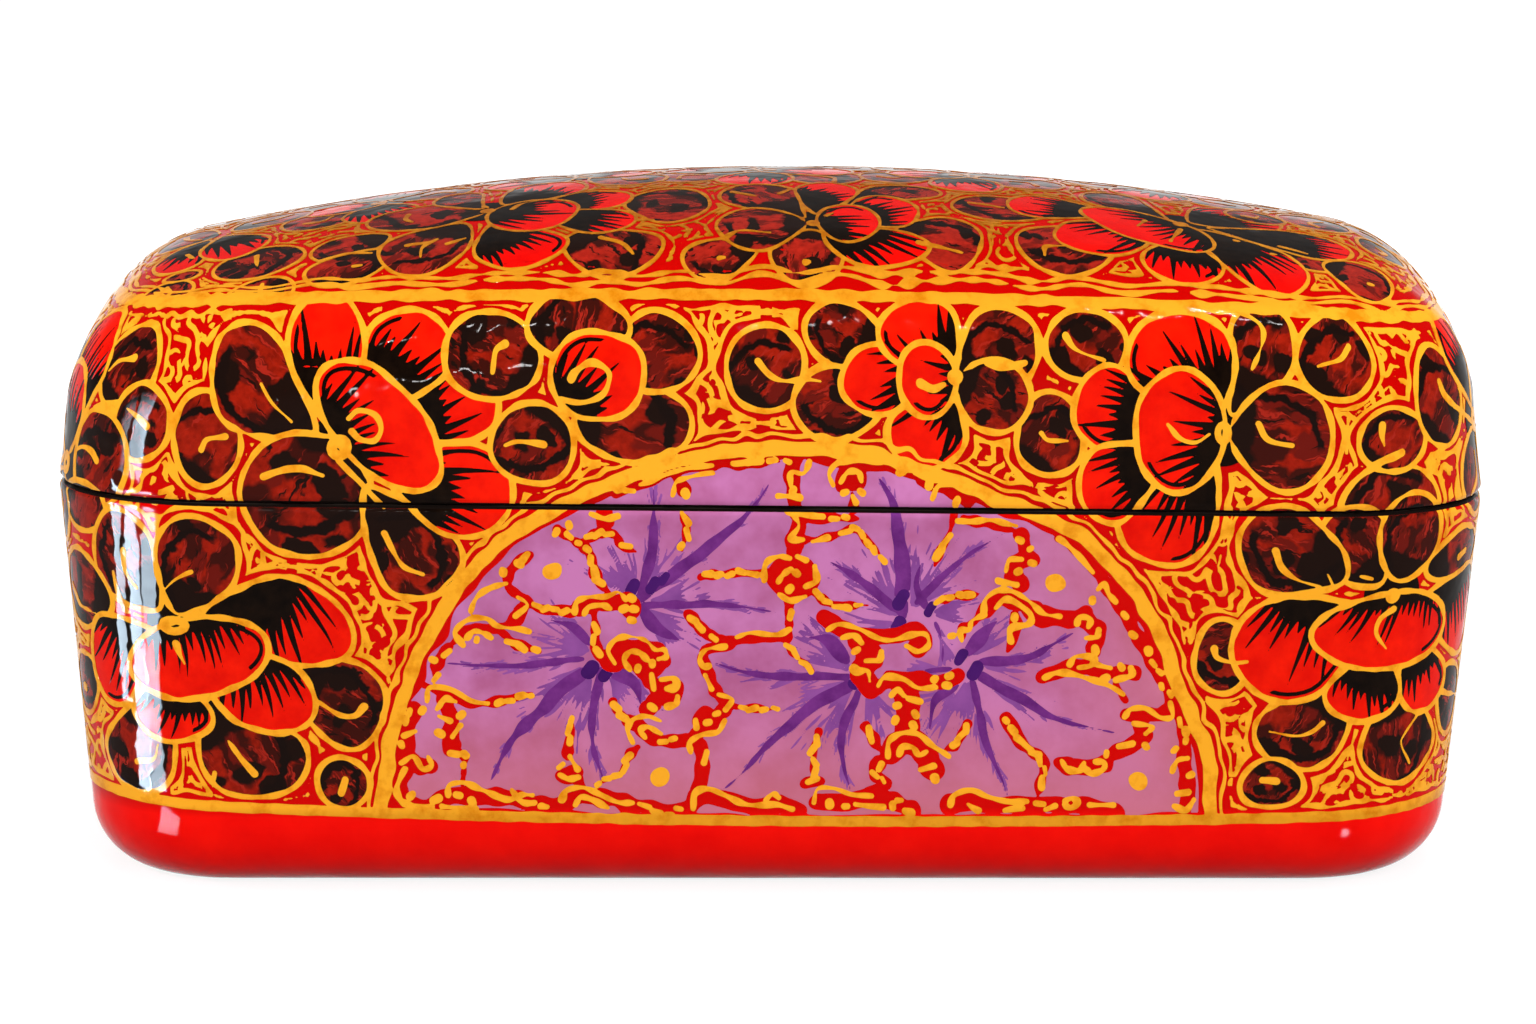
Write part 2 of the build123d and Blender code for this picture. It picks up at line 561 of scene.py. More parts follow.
# %% The outline of one petal
class Petal:
    """One oval petal, red or dark: its middle, half lengths and draw towards the knot, and where they
    matter its share of black, the tilt of its long axis and the lean of its black."""

    def __init__(self, kind, knot, x, y, long, short, draw, black=0, tilt=0, lean=0):
        self.kind, self.middle, self.long, self.short = kind, np.array((x, y), float), long, short
        self.knot = np.array(knot, float)
        reach = self.middle - self.knot
        self.axis = reach / max(np.hypot(*reach), 0.1)
        self.black, self.draw, self.lean = black, draw, math.radians(lean)
        turn = np.linspace(0, 2 * math.pi, 40, endpoint=False)
        local = np.stack([long * np.cos(turn), short * np.sin(turn)], 1)
        c, s = math.cos(math.radians(tilt)), math.sin(math.radians(tilt))
        spokes = local @ np.array([[c, s], [-s, c]])
        away = spokes / np.linalg.norm(spokes, axis=1, keepdims=True)
        pull = draw * np.clip(-(away @ self.axis), 0, 1) ** 2.2
        outline = self.middle + spokes
        self.outline = outline + (self.knot - outline) * pull[:, None]
        self.body = pull < 0.05

    def lie(self, x, y):
        """Where points lie in the petal: along its axis and across it, from -1 to 1."""
        dx, dy = x - self.middle[0], y - self.middle[1]
        size = max(self.long, self.short)
        return (dx * self.axis[0] + dy * self.axis[1]) / size, (dy * self.axis[0] - dx * self.axis[1]) / size


# %% Black flames of a red petal
def flame_field(petal, x, y, draw_lots):
    """Solid black at the foot of a petal that runs out into thin pointed flames. In a petal with a lean the
    black hangs from one long side instead."""
    c, s = math.cos(petal.lean), math.sin(petal.lean)
    axis = petal.axis @ np.array([[c, s], [-s, c]])
    spokes = np.abs((petal.outline - petal.middle) @ np.array([axis, (-axis[1], axis[0])]).T)
    along, across = spokes[petal.body].max(0)
    if petal.lean:
        source = petal.middle - axis * (along + 1.5 * across)
    else:
        source = petal.knot - axis * (1.5 if petal.draw > 0.25 else 4.5)
    middle = (petal.middle - source) @ axis
    near, depth = max(middle - along, 0), 2 * along
    solid = near + 0.8 * petal.black * depth
    dx, dy = x - source[0], y - source[1]
    radius = np.hypot(dx, dy)
    bend = draw_lots.uniform(-0.03, 0.03)
    angle = np.arctan2(dy * axis[0] - dx * axis[1], dx * axis[0] + dy * axis[1])
    angle = angle + bend * (radius - solid)
    fan = math.radians(150)
    teeth = max(5, round(fan * solid / 0.82))
    place = (angle / fan + 0.5) * teeth
    tooth = np.clip(np.floor(place), 0, teeth - 1).astype(int)
    lengths = np.array([draw_lots.uniform(0.1, 0.62) * depth for _ in range(teeth)])
    leans = np.array([draw_lots.uniform(-0.14, 0.14) for _ in range(teeth)])
    off = np.abs(place - tooth - 0.5 - leans[tooth]) / 0.5
    edge = solid + 0.08 * depth * np.cos(angle * 5 + petal.middle[0])
    reach = edge + lengths[tooth] * np.clip(1 - off, 0, 1) ** 1.25
    return (reach - radius) * 0.5


# %% Laying a petal on the sheet
def lay_petal(sheet, petal, draw_lots):
    """Covers what is below with the petal, then paints its flames and its gold outline."""
    petal.windows = []
    state = draw_lots.getstate()
    for window, shift in sheet.places(petal.outline, 4.5):
        x, y = sheet.hand_u[window] - shift, sheet.hand_v[window]
        inside = area_field(x, y, petal.outline)
        for older in sheet.petals:
            for old_window, _, old_field in older.windows:
                starts = [max(a.start, b.start) for a, b in zip(window, old_window)]
                ends = [min(a.stop, b.stop) for a, b in zip(window, old_window)]
                if ends[0] > starts[0] and ends[1] > starts[1]:
                    mine, theirs = (tuple(slice(s - w.start, e - w.start) for s, e, w in zip(starts, ends, own))
                                    for own in (window, old_window))
                    np.minimum(old_field[theirs], 0.1 - inside[mine], out=old_field[theirs])
        for ink in INKS:
            np.minimum(sheet.paint[ink][window], -inside, out=sheet.paint[ink][window])
        width = sheet.line_width / 2 * (1 + 0.15 * sheet.press[window])
        if petal.draw > 0.25:
            width = np.minimum(width, 0.28 * (np.hypot(x - petal.knot[0], y - petal.knot[1]) - 0.9))
        line = width - np.abs(inside)
        np.maximum(sheet.paint["gold"][window], line, out=sheet.paint["gold"][window])
        if petal.kind == "red":
            draw_lots.setstate(state)
            flames = np.minimum(flame_field(petal, x, y, draw_lots), inside - 0.1)
            rim = np.minimum(0.2 - np.abs(inside - 0.8), petal.lie(x, y)[1] * 2 - 1.1)
            flames = np.maximum(flames, np.minimum(rim, inside - 0.1))
            np.maximum(sheet.paint["black"][window], flames, out=sheet.paint["black"][window])
        np.minimum(sheet.free[window], -inside - sheet.line_width / 2, out=sheet.free[window])
        petal.windows.append((window, shift, inside - 0.05))
    sheet.petals.append(petal)


def comma(sheet, path, head=0.36, tail=0.12):
    """A gold stroke that starts round and runs out thin."""
    path = smooth_path(path)
    sheet.stroke("gold", path, np.linspace(head, tail, len(path)))


def knot_ring(sheet, x, y, wide=0.85, high=0.85, half=0.48):
    """The small gold ring or blob in which the petals of a flower meet."""
    turn = np.linspace(0, 2 * math.pi, 13)[:-1]
    ring = [(x + wide * math.cos(t), y + high * math.sin(t)) for t in turn]
    sheet.lay("gold", ring, 2.0, lambda u, v: stroke_field(u, v, ring, half, closed=True))


def lay_heart(sheet, knot, radius=3.4):
    """The black ground round a knot, which shows between the feet of the petals."""
    for window, shift in sheet.places([knot], radius + 4.5):
        gap = np.hypot(sheet.hand_u[window] - shift - knot[0], sheet.hand_v[window] - knot[1])
        np.maximum(sheet.paint["black"][window], radius - gap, out=sheet.paint["black"][window])
        np.minimum(sheet.free[window], gap - radius, out=sheet.free[window])


def comma_on(sheet, petal, draw_lots):
    """One bent gold comma along the middle of a petal."""
    side = np.array((-petal.axis[1], petal.axis[0]))
    size = 0.5 * min(petal.long, petal.short)
    way = draw_lots.choice((-1, 1))
    reach = draw_lots.uniform(0.7, 1.15)
    start = petal.middle + petal.axis * size * reach + side * way * size * 0.5
    middle = petal.middle + petal.axis * size * 0.2 - side * way * size * 0.25
    end = petal.middle - petal.axis * size * reach + side * way * size * 0.15
    comma(sheet, [start, middle, end], 0.34, 0.12)


def paint_flower(sheet, knot, dark, red, seed, commas=True, ring=(0.85, 0.85, 0.48)):
    """Lays the dark petals of one flower, with a gold comma on each, and then its red ones."""
    draw_lots = random.Random(seed)
    if ring:
        lay_heart(sheet, knot)
    for x, y, long, short, draw, *tilt in dark:
        petal = Petal("dark", knot, x, y, long, short, draw, 0, *tilt)
        lay_petal(sheet, petal, draw_lots)
        if commas:
            comma_on(sheet, petal, draw_lots)
    for numbers in red:
        lay_petal(sheet, Petal("red", knot, *numbers), draw_lots)
    if ring:
        knot_ring(sheet, *knot, *ring)

# %% [markdown]
# ## The flowers of the long sides
# The places are distances in mm from the middle of the side and from the seam. The petals of four large
# flowers run over the seam or stand round it, with two small ones between them, and the dark leaves fill
# in. A painter sets these by eye. In the tables each flower is its knot, then its dark petals, then
# its red ones, in the order in which they are laid.

# %% Where the petals go
ARCH = [
    (-41.5, -36), (-41, -33), (-39.2, -23), (-36.3, -15.4), (-32.3, -8.5), (-26.5, -2.8), (-22, 0),
    (-15, 3), (-6.3, 5.6), (0, 6.2), (8.7, 5.9), (14.4, 4.7), (23, 1.3), (27, 0), (32.3, -2.8), (37, -7.4),
    (40.4, -13.1), (43.3, -20), (45.6, -25.8), (46.2, -32), (46.4, -36)]

# dark petals: place along, height, half length, half width, draw to the knot, and sometimes the tilt
# red petals: the same, with the share of black after the draw, and sometimes the tilt and the lean of the
# black
FLOWERS = {
    "left above":
        ((-44.5, 5.9),
         [(-53.6, 12.6, 5.7, 4.2, 0.55, 100), (-47.7, 1.2, 7, 6.7, 0.45), (-36.6, -5.6, 4.6, 4.4, 0.5)],
         [(-31.7, 1.6, 5.2, 5, 0.5, 0.35, 0, 25), (-32.2, 10.5, 4.2, 3.9, 0.5, 0.3),
          (-37.4, 15.7, 4.6, 4.1, 0.5, 0.4), (-45.9, 16.2, 4.1, 5, 0.7, 0.45),
          (-40.4, 8.2, 8.2, 4.4, 0.03, 0.3, -47)]),
    "left middle":
        ((-21.4, 10.8),
         [(-28.8, 15.4, 5, 4.4, 0.1), (-24.5, 6.4, 4.4, 4.2, 0.1), (-14.1, 8.7, 6, 4, 0.1),
          (-11.7, 16, 4.4, 4.1, 0.1), (-19.9, 18.5, 5.3, 3.2, 0.1)],
         [(-17.8, 13.5, 4.9, 4.6, 0, 0.35)]),
    "right middle":
        ((19, 13.8),
         [(7.2, 18, 3.8, 3.4, 0.1), (6.6, 10.8, 4.3, 3.9, 0.1), (23.7, 16.5, 4.2, 4.2, 0.5),
          (23, 12, 3.8, 3.8, 0.5)],
         [(11, 13.4, 3.6, 3.6, 0.4, 0.25), (16.2, 7.9, 4.1, 3.6, 0.4, 0.35),
          (15.3, 18, 4.2, 3.6, 0.4, 0.35), (16.2, 13.4, 3.9, 3, 0.15, 0.25, 90)]),
    "right above":
        ((46.7, 8.2),
         [(50.8, 16.8, 3.6, 4.3, 0.6), (53.1, 7.9, 5, 5.6, 0.45)],
         [(41, 0, 5.3, 5.6, 0.5, 0.45), (34.9, 10.8, 3.6, 4.3, 0.4, 0.5),
          (35.2, 3, 3.4, 4.2, 0.4, 0.45), (42.4, 15.7, 5.7, 4.5, 0.6, 0.5),
          (42.3, 8.5, 6.4, 4.7, 0.12, 0.3, 84)]),
    "left below":
        ((-62.3, -13.1),
         [(-68.6, -6.2, 4.4, 5, 0.5), (-59.7, -6.2, 4.7, 4.8, 0.5), (-77, -10.8, 5.5, 4.2, 0.1),
          (-79.3, -21.5, 3.6, 3.4, 0.1), (-44.1, -21.5, 3.8, 4.8, 0.3), (-68.6, -27.8, 5.6, 4, 0.3),
          (-54.2, -27.5, 5.9, 4.2, 0.3), (-44.8, -30.1, 2.8, 2.8, 0)],
         [(-49.6, -12.5, 6.6, 4.4, 0.6, 0.42, -25, -52), (-52.8, -20.3, 5.5, 4.2, 0.4, 0.42, -20, -30),
          (-71.4, -17.8, 4.2, 4.9, 0.6, 0.35, 0, 38), (-63.5, -22.9, 5.2, 2.9, 0.3, 0.45),
          (-60.3, -16.6, 8.4, 4.3, 0.15, 0.32, 12, -22)]),
    "right below":
        ((65.4, -9),
         [(60.6, -3.3, 4, 4, 0.4), (67.4, -2.4, 4.2, 4.2, 0.4), (53.1, -3.9, 4.7, 4.8, 0.3),
          (76.7, -5.4, 5.5, 2.6, 0.3), (55.7, -23.5, 4.9, 4, 0.2), (68.4, -25.5, 5.9, 4, 0.3),
          (78.5, -21.8, 3.6, 3.6, 0.1), (52.5, -29.2, 3.3, 2.7, 0), (47, -15.4, 2.9, 4, 0)],
         [(54, -14.5, 6, 5.6, 0.6, 0.36, 0, 38), (79, -12, 5.5, 4.9, 0.5, 0.35, 0, -45),
          (71.3, -18.9, 4.2, 3.2, 0.4, 0.4, 0, -22), (62.6, -19.5, 4.8, 2.9, 0.4, 0.5),
          (65.2, -12.7, 9, 4.1, 0.15, 0.3, 2, -2)]),
}
SINGLE_LEAVES = [
    (-58.3, 6.7, 3.6, 5), (-69.2, 13.2, 4.4, 4.4), (-66, 8, 3.8, 3.9), (-72.1, 3.6, 4.7, 5.2),
    (-75, -1.6, 4.5, 2.6), (-0.6, 14.4, 4.1, 4.5), (32.6, 17.1, 4.2, 3.5), (28.9, 7.9, 3.6, 4.4),
    (58.9, 15.9, 4.6, 4.2), (65, 0.6, 6, 4.6), (65.2, 7.5, 4.3, 3.1), (72.6, 11.4, 4.4, 5.2)]

# The knots: half width and half height of the ring, and half the width of its line.
RINGS = {"left above": (0.8, 0.8, 0.5), "left middle": None, "right middle": (0.35, 0.35, 0.5),
         "right above": (0.65, 0.9, 0.36), "left below": (1.35, 0.6, 0.42), "right below": (0.35, 0.35, 0.5)}

# The small gold commas: half width at the start and at the end, and the path.
COMMAS = [
    (0.34, 0.28, [(-58.9, 5.5), (-58.2, 6.6), (-56.3, 7)]),
    (0.12, 0.12, [(-52.5, 12.3), (-51.2, 10.1), (-49.5, 8.4)]),
    (0.42, 0.3, [(-52.2, 2.8), (-50.6, 3.3), (-48.4, 3.7), (-46.2, 3.1)]),
    (0.38, 0.2, [(-27.3, 16.6), (-28.3, 15.9), (-28.6, 13.8)]), (0.26, 0.34, [(-43.5, 8.8), (-42.5, 9.6),
    (-40.8, 9.1), (-40.1, 7.6), (-40.8, 6.5), (-42.3, 6.6), (-43.2, 7.4)]),
    (0.2, 0.38, [(-27.3, 6.3), (-26, 6.7), (-23.4, 6.5)]),
    (0.35, 0.14, [(-39.8, -3), (-38.3, -6.2), (-36, -7.3)]),
    (0.3, 0.2, [(-44.6, 4.7), (-41.8, 1.8), (-40, -0.2)]), (0.3, 0.3, [(-42.2, 3.9), (-41.6, 3)]), (0.26,
    0.34, [(-21.6, 11.3), (-19.3, 10.9), (-17.3, 11.7), (-16.6, 13.4), (-17.3, 14.5), (-18.6, 14.9),
    (-20, 14.1), (-20.6, 13.2)]),
    (0.4, 0.14, [(-1.2, 15.2), (-0.1, 14), (1.4, 13.4), (3.5, 13.5), (5.3, 13.2)]),
    (0.36, 0.3, [(5.7, 14.9), (4, 14.1), (2.8, 12.7)]), (0.3, 0.3, [(12.3, 9.6), (11.9, 8.4), (12, 7.1)]),
    (0.5, 0.3, [(15.4, 12.9), (16.6, 12.5), (17.8, 13)]),
    (0.4, 0.38, [(22.4, 15.3), (24.2, 14.8), (26.5, 15.2)]),
    (0.38, 0.12, [(30.4, 17.9), (31.6, 16.6), (34.3, 15.6)]),
    (0.38, 0.12, [(28, 8.1), (28.7, 7.3), (30.8, 7.3)]),
    (0.28, 0.12, [(41, 9), (42.1, 7.7), (43.7, 7.3), (45.1, 8.1)]),
    (0.3, 0.24, [(50.4, 9.3), (51.4, 7.7), (54, 7)]),
    (0.3, 0.12, [(48.9, 20.2), (50.8, 19.1), (51, 17.5), (49.6, 14.6)]),
    (0.36, 0.12, [(60.6, 17), (59.2, 15.6), (56.5, 15)]),
    (0.14, 0.38, [(-72.1, 12.5), (-70.7, 13.8), (-68.6, 14.2)]),
    (0.14, 0.4, [(-68.1, 9.4), (-66.4, 8.7), (-64.9, 7.8)]),
    (0.16, 0.42, [(-76.9, 4), (-75, 4.4), (-73.2, 4), (-72.2, 3.2)]),
    (0.32, 0.32, [(-73.2, 8.8), (-71.4, 9.4), (-69.6, 9.8)]),
    (0.36, 0.12, [(63.8, 8.9), (63.7, 7.8), (64, 6.8)]),
    (0.32, 0.38, [(62.1, 4.8), (64.1, 5.5), (66.1, 6.1)]),
    (0.36, 0.24, [(72.6, 13), (73.2, 11.6), (74.9, 10.3), (76.2, 9.6), (78.4, 8.5), (79.9, 8)]),
    (0.16, 0.36, [(76.8, 1.7), (78.3, 3.1), (80.8, 4)]),
    (0.12, 0.26, [(-63.3, -9.3), (-62.1, -8.3), (-60.2, -7.5)]),
    (0.38, 0.12, [(-68.3, -5.8), (-68.2, -7.8), (-66.9, -9.5)]),
    (0.2, 0.34, [(-70, -8), (-69.6, -10.3), (-68.8, -12.1)]),
    (0.4, 0.1, [(-62.3, -15), (-62.1, -16.2), (-61.6, -17.2)]),
    (0.12, 0.3, [(-65.4, -26.3), (-66.1, -28), (-68.8, -28.6)]),
    (0.14, 0.42, [(-56.8, -25.5), (-55.5, -27.4), (-54, -29)]),
    (0.26, 0.14, [(-58.6, -29), (-58.8, -30.5)]),
    (0.14, 0.42, [(-47.5, -20.8), (-44.9, -22.3), (-43.3, -22.4), (-42.5, -21.6)]),
    (0.42, 0.36, [(-44.6, -29.7), (-45.1, -31.1)]), (0.45, 0.4, [(-79.6, -22), (-79, -22.1)]),
    (0.36, 0.12, [(-80.4, -11.2), (-78, -12.7), (-73.8, -13.3)]),
    (0.36, 0.12, [(65.6, -10.5), (64.1, -11.3), (63.7, -12.8), (65.1, -14.5)]),
    (0.12, 0.32, [(52.4, -23.4), (54.8, -23.9), (56.4, -23.5), (57.6, -22.5)]),
    (0.14, 0.14, [(70.7, -22.3), (68.9, -23.9), (68.2, -25.2), (69.9, -27.6)]),
    (0.38, 0.12, [(46.2, -14.5), (46.6, -15.4), (48.2, -15.9), (49.6, -15.8)]),
    (0.45, 0.4, [(51.6, -28.8), (53, -29)]),
    (0.4, 0.12, [(52.4, -3.9), (53, -5.7), (54.8, -7.2), (56.9, -7.9)]),
    (0.36, 0.3, [(75.8, -5.8), (77.5, -5.4)]), (0.12, 0.14, [(57.5, -6.4), (58.2, -7.5)]),
    (0.12, 0.16, [(61.5, -6.6), (63, -6.9)]), (0.32, 0.14, [(75.1, -20.5), (77.9, -21.3), (81.7, -21.8)])]

# The short ends: one large flower above and one below the seam, with a smaller one at each corner of the lid.
END = half_girth / 2
END_FLOWERS = {
    "end right corner":
        ((81.2, 8.2),
         [(80, 2.6, 4.4, 4.4, 0.5), (87.6, 3.4, 4.6, 4.2, 0.5), (90.6, 9.6, 4, 3.8, 0.6)],
         [(80.6, 15.2, 5, 4.2, 0.7, 0.5), (88.4, 15.4, 4.4, 4, 0.6, 0.45),
          (85.4, 10.8, 5.4, 3.8, 0.2, 0.35, 25)]),
    "end left corner":
        ((-79.5, 2.4),
         [(-86.6, 5.4, 4.4, 4.2, 0.5), (-82.4, -2.6, 4, 3.6, 0.5), (-89, -1, 3.6, 3.4, 0.3)],
         [(-78.9, 12.8, 6.2, 5.4, 0.75, 0.5), (-86.4, 12.4, 4.6, 4.4, 0.6, 0.45),
          (-80.4, 8.4, 4.9, 4.6, 0.55, 0.4)]),
    "end above":
        ((END - 1, 6.6),
         [(END - 8.8, 3.4, 4.4, 4, 0.5), (END + 8.2, 2.6, 4.6, 4, 0.5),
          (END - 7.4, 15, 4.2, 4.4, 0.5), (END + 8.6, 14.4, 4.8, 4, 0.4), (END, -0.6, 4.4, 4.6, 0.5)],
         [(END - 6.6, 9.2, 4.6, 3.8, 0.6, 0.5), (END + 6.8, 8.4, 4.4, 4, 0.6, 0.5),
          (END - 2.6, 16, 4.2, 4, 0.6, 0.45), (END + 3.4, 15.8, 4.4, 3.8, 0.6, 0.45),
          (END + 0.2, 10.4, 5.2, 3.9, 0.15, 0.3)]),
    "end below":
        ((END, -11.6),
         [(END - 6.4, -5, 4.6, 4.6, 0.5), (END + 5.4, -5.4, 4.6, 4.8, 0.5),
          (END - 17.2, -11, 4.2, 4.6, 0.2), (END + 17.6, -5.2, 4.6, 4.2, 0.2),
          (END - 15.6, -19.6, 4, 4.4, 0.2), (END + 15.4, -21.4, 4.4, 4.2, 0.2),
          (END - 8.8, -26.8, 5.2, 4, 0.3), (END + 7.8, -27.2, 5.4, 3.8, 0.3),
          (END - 17, -28.4, 3, 2.8, 0), (END - 15.6, -2.2, 3.6, 3.2, 0.1)],
         [(END - 11.8, -12.8, 6, 4.3, 0.6, 0.45), (END + 12, -12.6, 6.2, 4.4, 0.6, 0.45),
          (END - 6.6, -19.8, 4.8, 3.8, 0.4, 0.5), (END + 6.8, -19.6, 4.8, 3.6, 0.4, 0.5),
          (END, -22, 4.6, 2.9, 0.3, 0.45), (END, -15.2, 8.4, 4.2, 0.15, 0.35, 2)]),
}

# %% Paint the flowers of the long sides
leaf_draw = 0.12
for count, (x, y, long, short) in enumerate(SINGLE_LEAVES):
    stalk = (x - 3, y - 4)
    leaf = (x, y, long, short, leaf_draw)
    paint_flower(wall, stalk, [leaf], [], seed=40 + count, commas=False, ring=None)
for count, (title, flower) in enumerate(FLOWERS.items()):
    paint_flower(wall, *flower, seed=70 + count, commas=False, ring=RINGS[title])
for head, tail, path in COMMAS:
    comma(wall, path, head, tail)
for count, flower in enumerate(END_FLOWERS.values()):
    paint_flower(wall, *flower, seed=90 + count)
print("petals on one long side and one end:", len(wall.petals))

# %% [markdown]
# ## Gold bands, arch and lace
# Two plain gold bands frame the side: one above the foot and one on the shoulder. The arch is laid over the
# flowers. The ground that is left gets an echo line that follows every petal and, inside it, a lace of short
# gold strokes. Ripples of one wavelength cut off at one level make exactly such a lace.

# %% Bands and arch
def foot_band(x):
    """Height of the foot's gold band for a place along the box."""
    return -32.0 - 1.7 * (1 - (np.clip(x, -half_length, half_length) / half_length) ** 2)


def shoulder_band(x):
    """Height of the shoulder's gold band for a place along the box."""
    return 19.0 + 2.7 * (1 - (np.clip(x, -half_length, half_length) / half_length) ** 2)


def across_box(along):
    """The place along the box, from the left end to the right, for distances round the seam."""
    return np.array([seam_outline(a)[0][0] for a in along])


def trim(sheet, limit):
    """Takes away the paint and the petals of a sheet wherever a field is less than nought."""
    for ink in INKS:
        np.minimum(sheet.paint[ink], limit, out=sheet.paint[ink])
    for petal in sheet.petals:
        for window, _, field in petal.windows:
            np.minimum(field, limit[window], out=field)


box_x = across_box(wall.u)
foot_line, shoulder_line = foot_band(box_x), shoulder_band(box_x)
from_foot = wall.v[:, None] - foot_line[None, :]
from_shoulder = shoulder_line[None, :] - wall.v[:, None]
arch_outline = smooth_path(ARCH, 4)
arch_inside = area_field(wall.hand_u, wall.hand_v, arch_outline)

between = np.minimum(from_foot, from_shoulder)
trim(wall, np.minimum(-arch_inside, between))

# the bold line of the arch, and a hair line outside it
gold = wall.paint["gold"]
bold = 0.74 - np.abs(arch_inside) + 0.07 * wall.press
hair_line = 0.2 - np.abs(arch_inside + 1.35 + 0.14 * wall.press)
np.maximum(gold, np.minimum(np.maximum(bold, hair_line), from_foot + 0.3), out=gold)
np.maximum(gold, 0.56 - np.abs(from_foot) + 0.03 * wall.press, out=gold)
np.maximum(gold, 0.52 - np.abs(from_shoulder) + 0.07 * wall.press, out=gold)
np.minimum(wall.free, -arch_inside - 1.5, out=wall.free)
np.minimum(wall.free, between - 0.6, out=wall.free)
print(f"arch {np.ptp(arch_outline[:, 0]):.0f} mm wide, foot band {-foot_line.max():.0f} mm below the seam")


# %% Echo lines and lace
def widest(field, cells):
    """The largest value of a field within a few cells of its grid."""
    for _ in range(cells):
        for axis in (0, 1):
            field = np.maximum(field, np.maximum(np.roll(field, 1, axis), np.roll(field, -1, axis)))
    return field


def add_lace(sheet, seed):
    """Gold echo lines and lace on all the ground that no petal or band covers."""
    shape = sheet.free.shape
    wander, curls, breaks = (ripples(shape, sheet.step, size, seed + k)
                             for k, size in enumerate((4.0, 2.8, 2.2)))
    slope = np.hypot(*np.gradient(curls, sheet.step))
    echo = 0.37 * sheet.line_width + 0.07 * sheet.press - np.abs(sheet.free - 0.72 - 0.12 * wander)
    echo = np.minimum(echo, 0.6 * (widest(sheet.free, 8) - 1.1))
    ridge = widest(sheet.free, 3) - sheet.free
    spine = 0.31 * sheet.line_width + 0.07 * sheet.press + 0.04 * wander - ridge
    spine = np.minimum(np.minimum(spine, 0.3 * (breaks + 0.7)), sheet.free - 0.34)
    lace = np.minimum(0.4 * sheet.line_width - np.abs(curls) / (slope + 0.5), 0.3 * (breaks + 0.8))
    both = np.maximum(np.maximum(echo, spine), np.minimum(lace, sheet.free - 0.8))
    np.maximum(sheet.paint["gold"], np.where(sheet.free > 0, both, -1.0), out=sheet.paint["gold"])


add_lace(wall, 5)
print(f"gold covers {100 * (gold > 0).mean():.0f}% of the wall sheet")

# %% [markdown]
# ## The crown
# The top of the lid has its own sheet, seen straight down. Three large flowers stand along its front edge
# and the same three, turned half round, along its back edge. Smaller flowers lie between the two rows, and
# dark leaves and gold lace fill the rest. The gold band of the shoulder is looked up in the survey and
# marks where this sheet ends.

# %% Flowers of the crown
CROWN_FLOWERS = {
    "crown left":
        ((-30.3, -15.2),
         [(-45, -21.8, 3.8, 3.5, 0.1), (-44.6, -27, 4.1, 3.1, 0.1), (-36.5, -24.9, 4.9, 5, 0.35),
          (-16.2, -28.4, 5, 3.6, 0.1), (-10.6, -17.2, 4.1, 6, 0.05), (-36.7, -14.5, 6.6, 4.7, 0.4),
          (-33.8, -8.6, 2.6, 3.6, 0.7)],
         [(-24.2, -7.8, 4.3, 4.7, 0.5, 0.45), (-18.6, -14.3, 3.9, 3.8, 0.3, 0.45),
          (-18.1, -21.6, 3.7, 3.5, 0.3, 0.5), (-26.2, -26.8, 5, 3.6, 0.5, 0.45, 0, 35),
          (-25.3, -17.8, 4.9, 5.3, 0.2, 0.45)]),
    "crown middle":
        ((4.4, -24.2),
         [(3.9, -29.9, 3.9, 3.2, 0.35), (-5.6, -30.1, 3.5, 2.4, 0.2), (18.6, -26.6, 3.5, 5, 0.2),
          (14.2, -12.6, 4.2, 2.8, 0.6), (-1.2, -15, 4.2, 4.9, 0.7), (-1.3, -24.6, 4.4, 4.9, 0.4)],
         [(6, -13.4, 3.4, 4.2, 0.6, 0.42, 0, -30), (12.2, -19.9, 3.4, 5, 0.5, 0.5, 10),
          (11.4, -28.4, 5.2, 3, 0.5, 0.5), (8.2, -23.2, 3.3, 4.9, 0.2, 0.45)]),
    "crown right":
        ((43.8, -16.4),
         [(24.4, -17, 5, 4.3, 0.05), (30.8, -26.4, 5.1, 4.8, 0.1), (57.2, -22.4, 2.8, 2.3, 0.1),
          (62.4, -24.2, 3.1, 4.4, 0.05), (37, -9.2, 3.4, 4, 0.7)],
         [(50.2, -10.6, 5, 5, 0.6, 0.45), (57.6, -16.8, 4.6, 4.4, 0.7, 0.6),
          (29, -15.2, 3.8, 4.2, 0.5, 0.4), (51.4, -24.6, 6.2, 4.5, 0.6, 0.5, -62),
          (34.6, -23.4, 4.8, 4.4, 0.3, 0.35), (43.1, -27.4, 4.3, 3.2, 0.4, 0.5),
          (40.2, -18.9, 8, 4.4, 0.2, 0.35, -35)]),
    "crown end":
        ((-60, -8),
         [(-54.1, -21.9, 4.7, 4.3, 0), (-62.2, -21.8, 2, 1.4, 0), (-63.6, -6.2, 3.4, 4.2, 0.4),
          (-54.2, -4, 4, 3.8, 0.4)],
         [(-63.2, -15.6, 2.9, 4.4, 0.5, 0.4), (-57.4, -14.8, 3.7, 4.3, 0.6, 0.4)]),
}
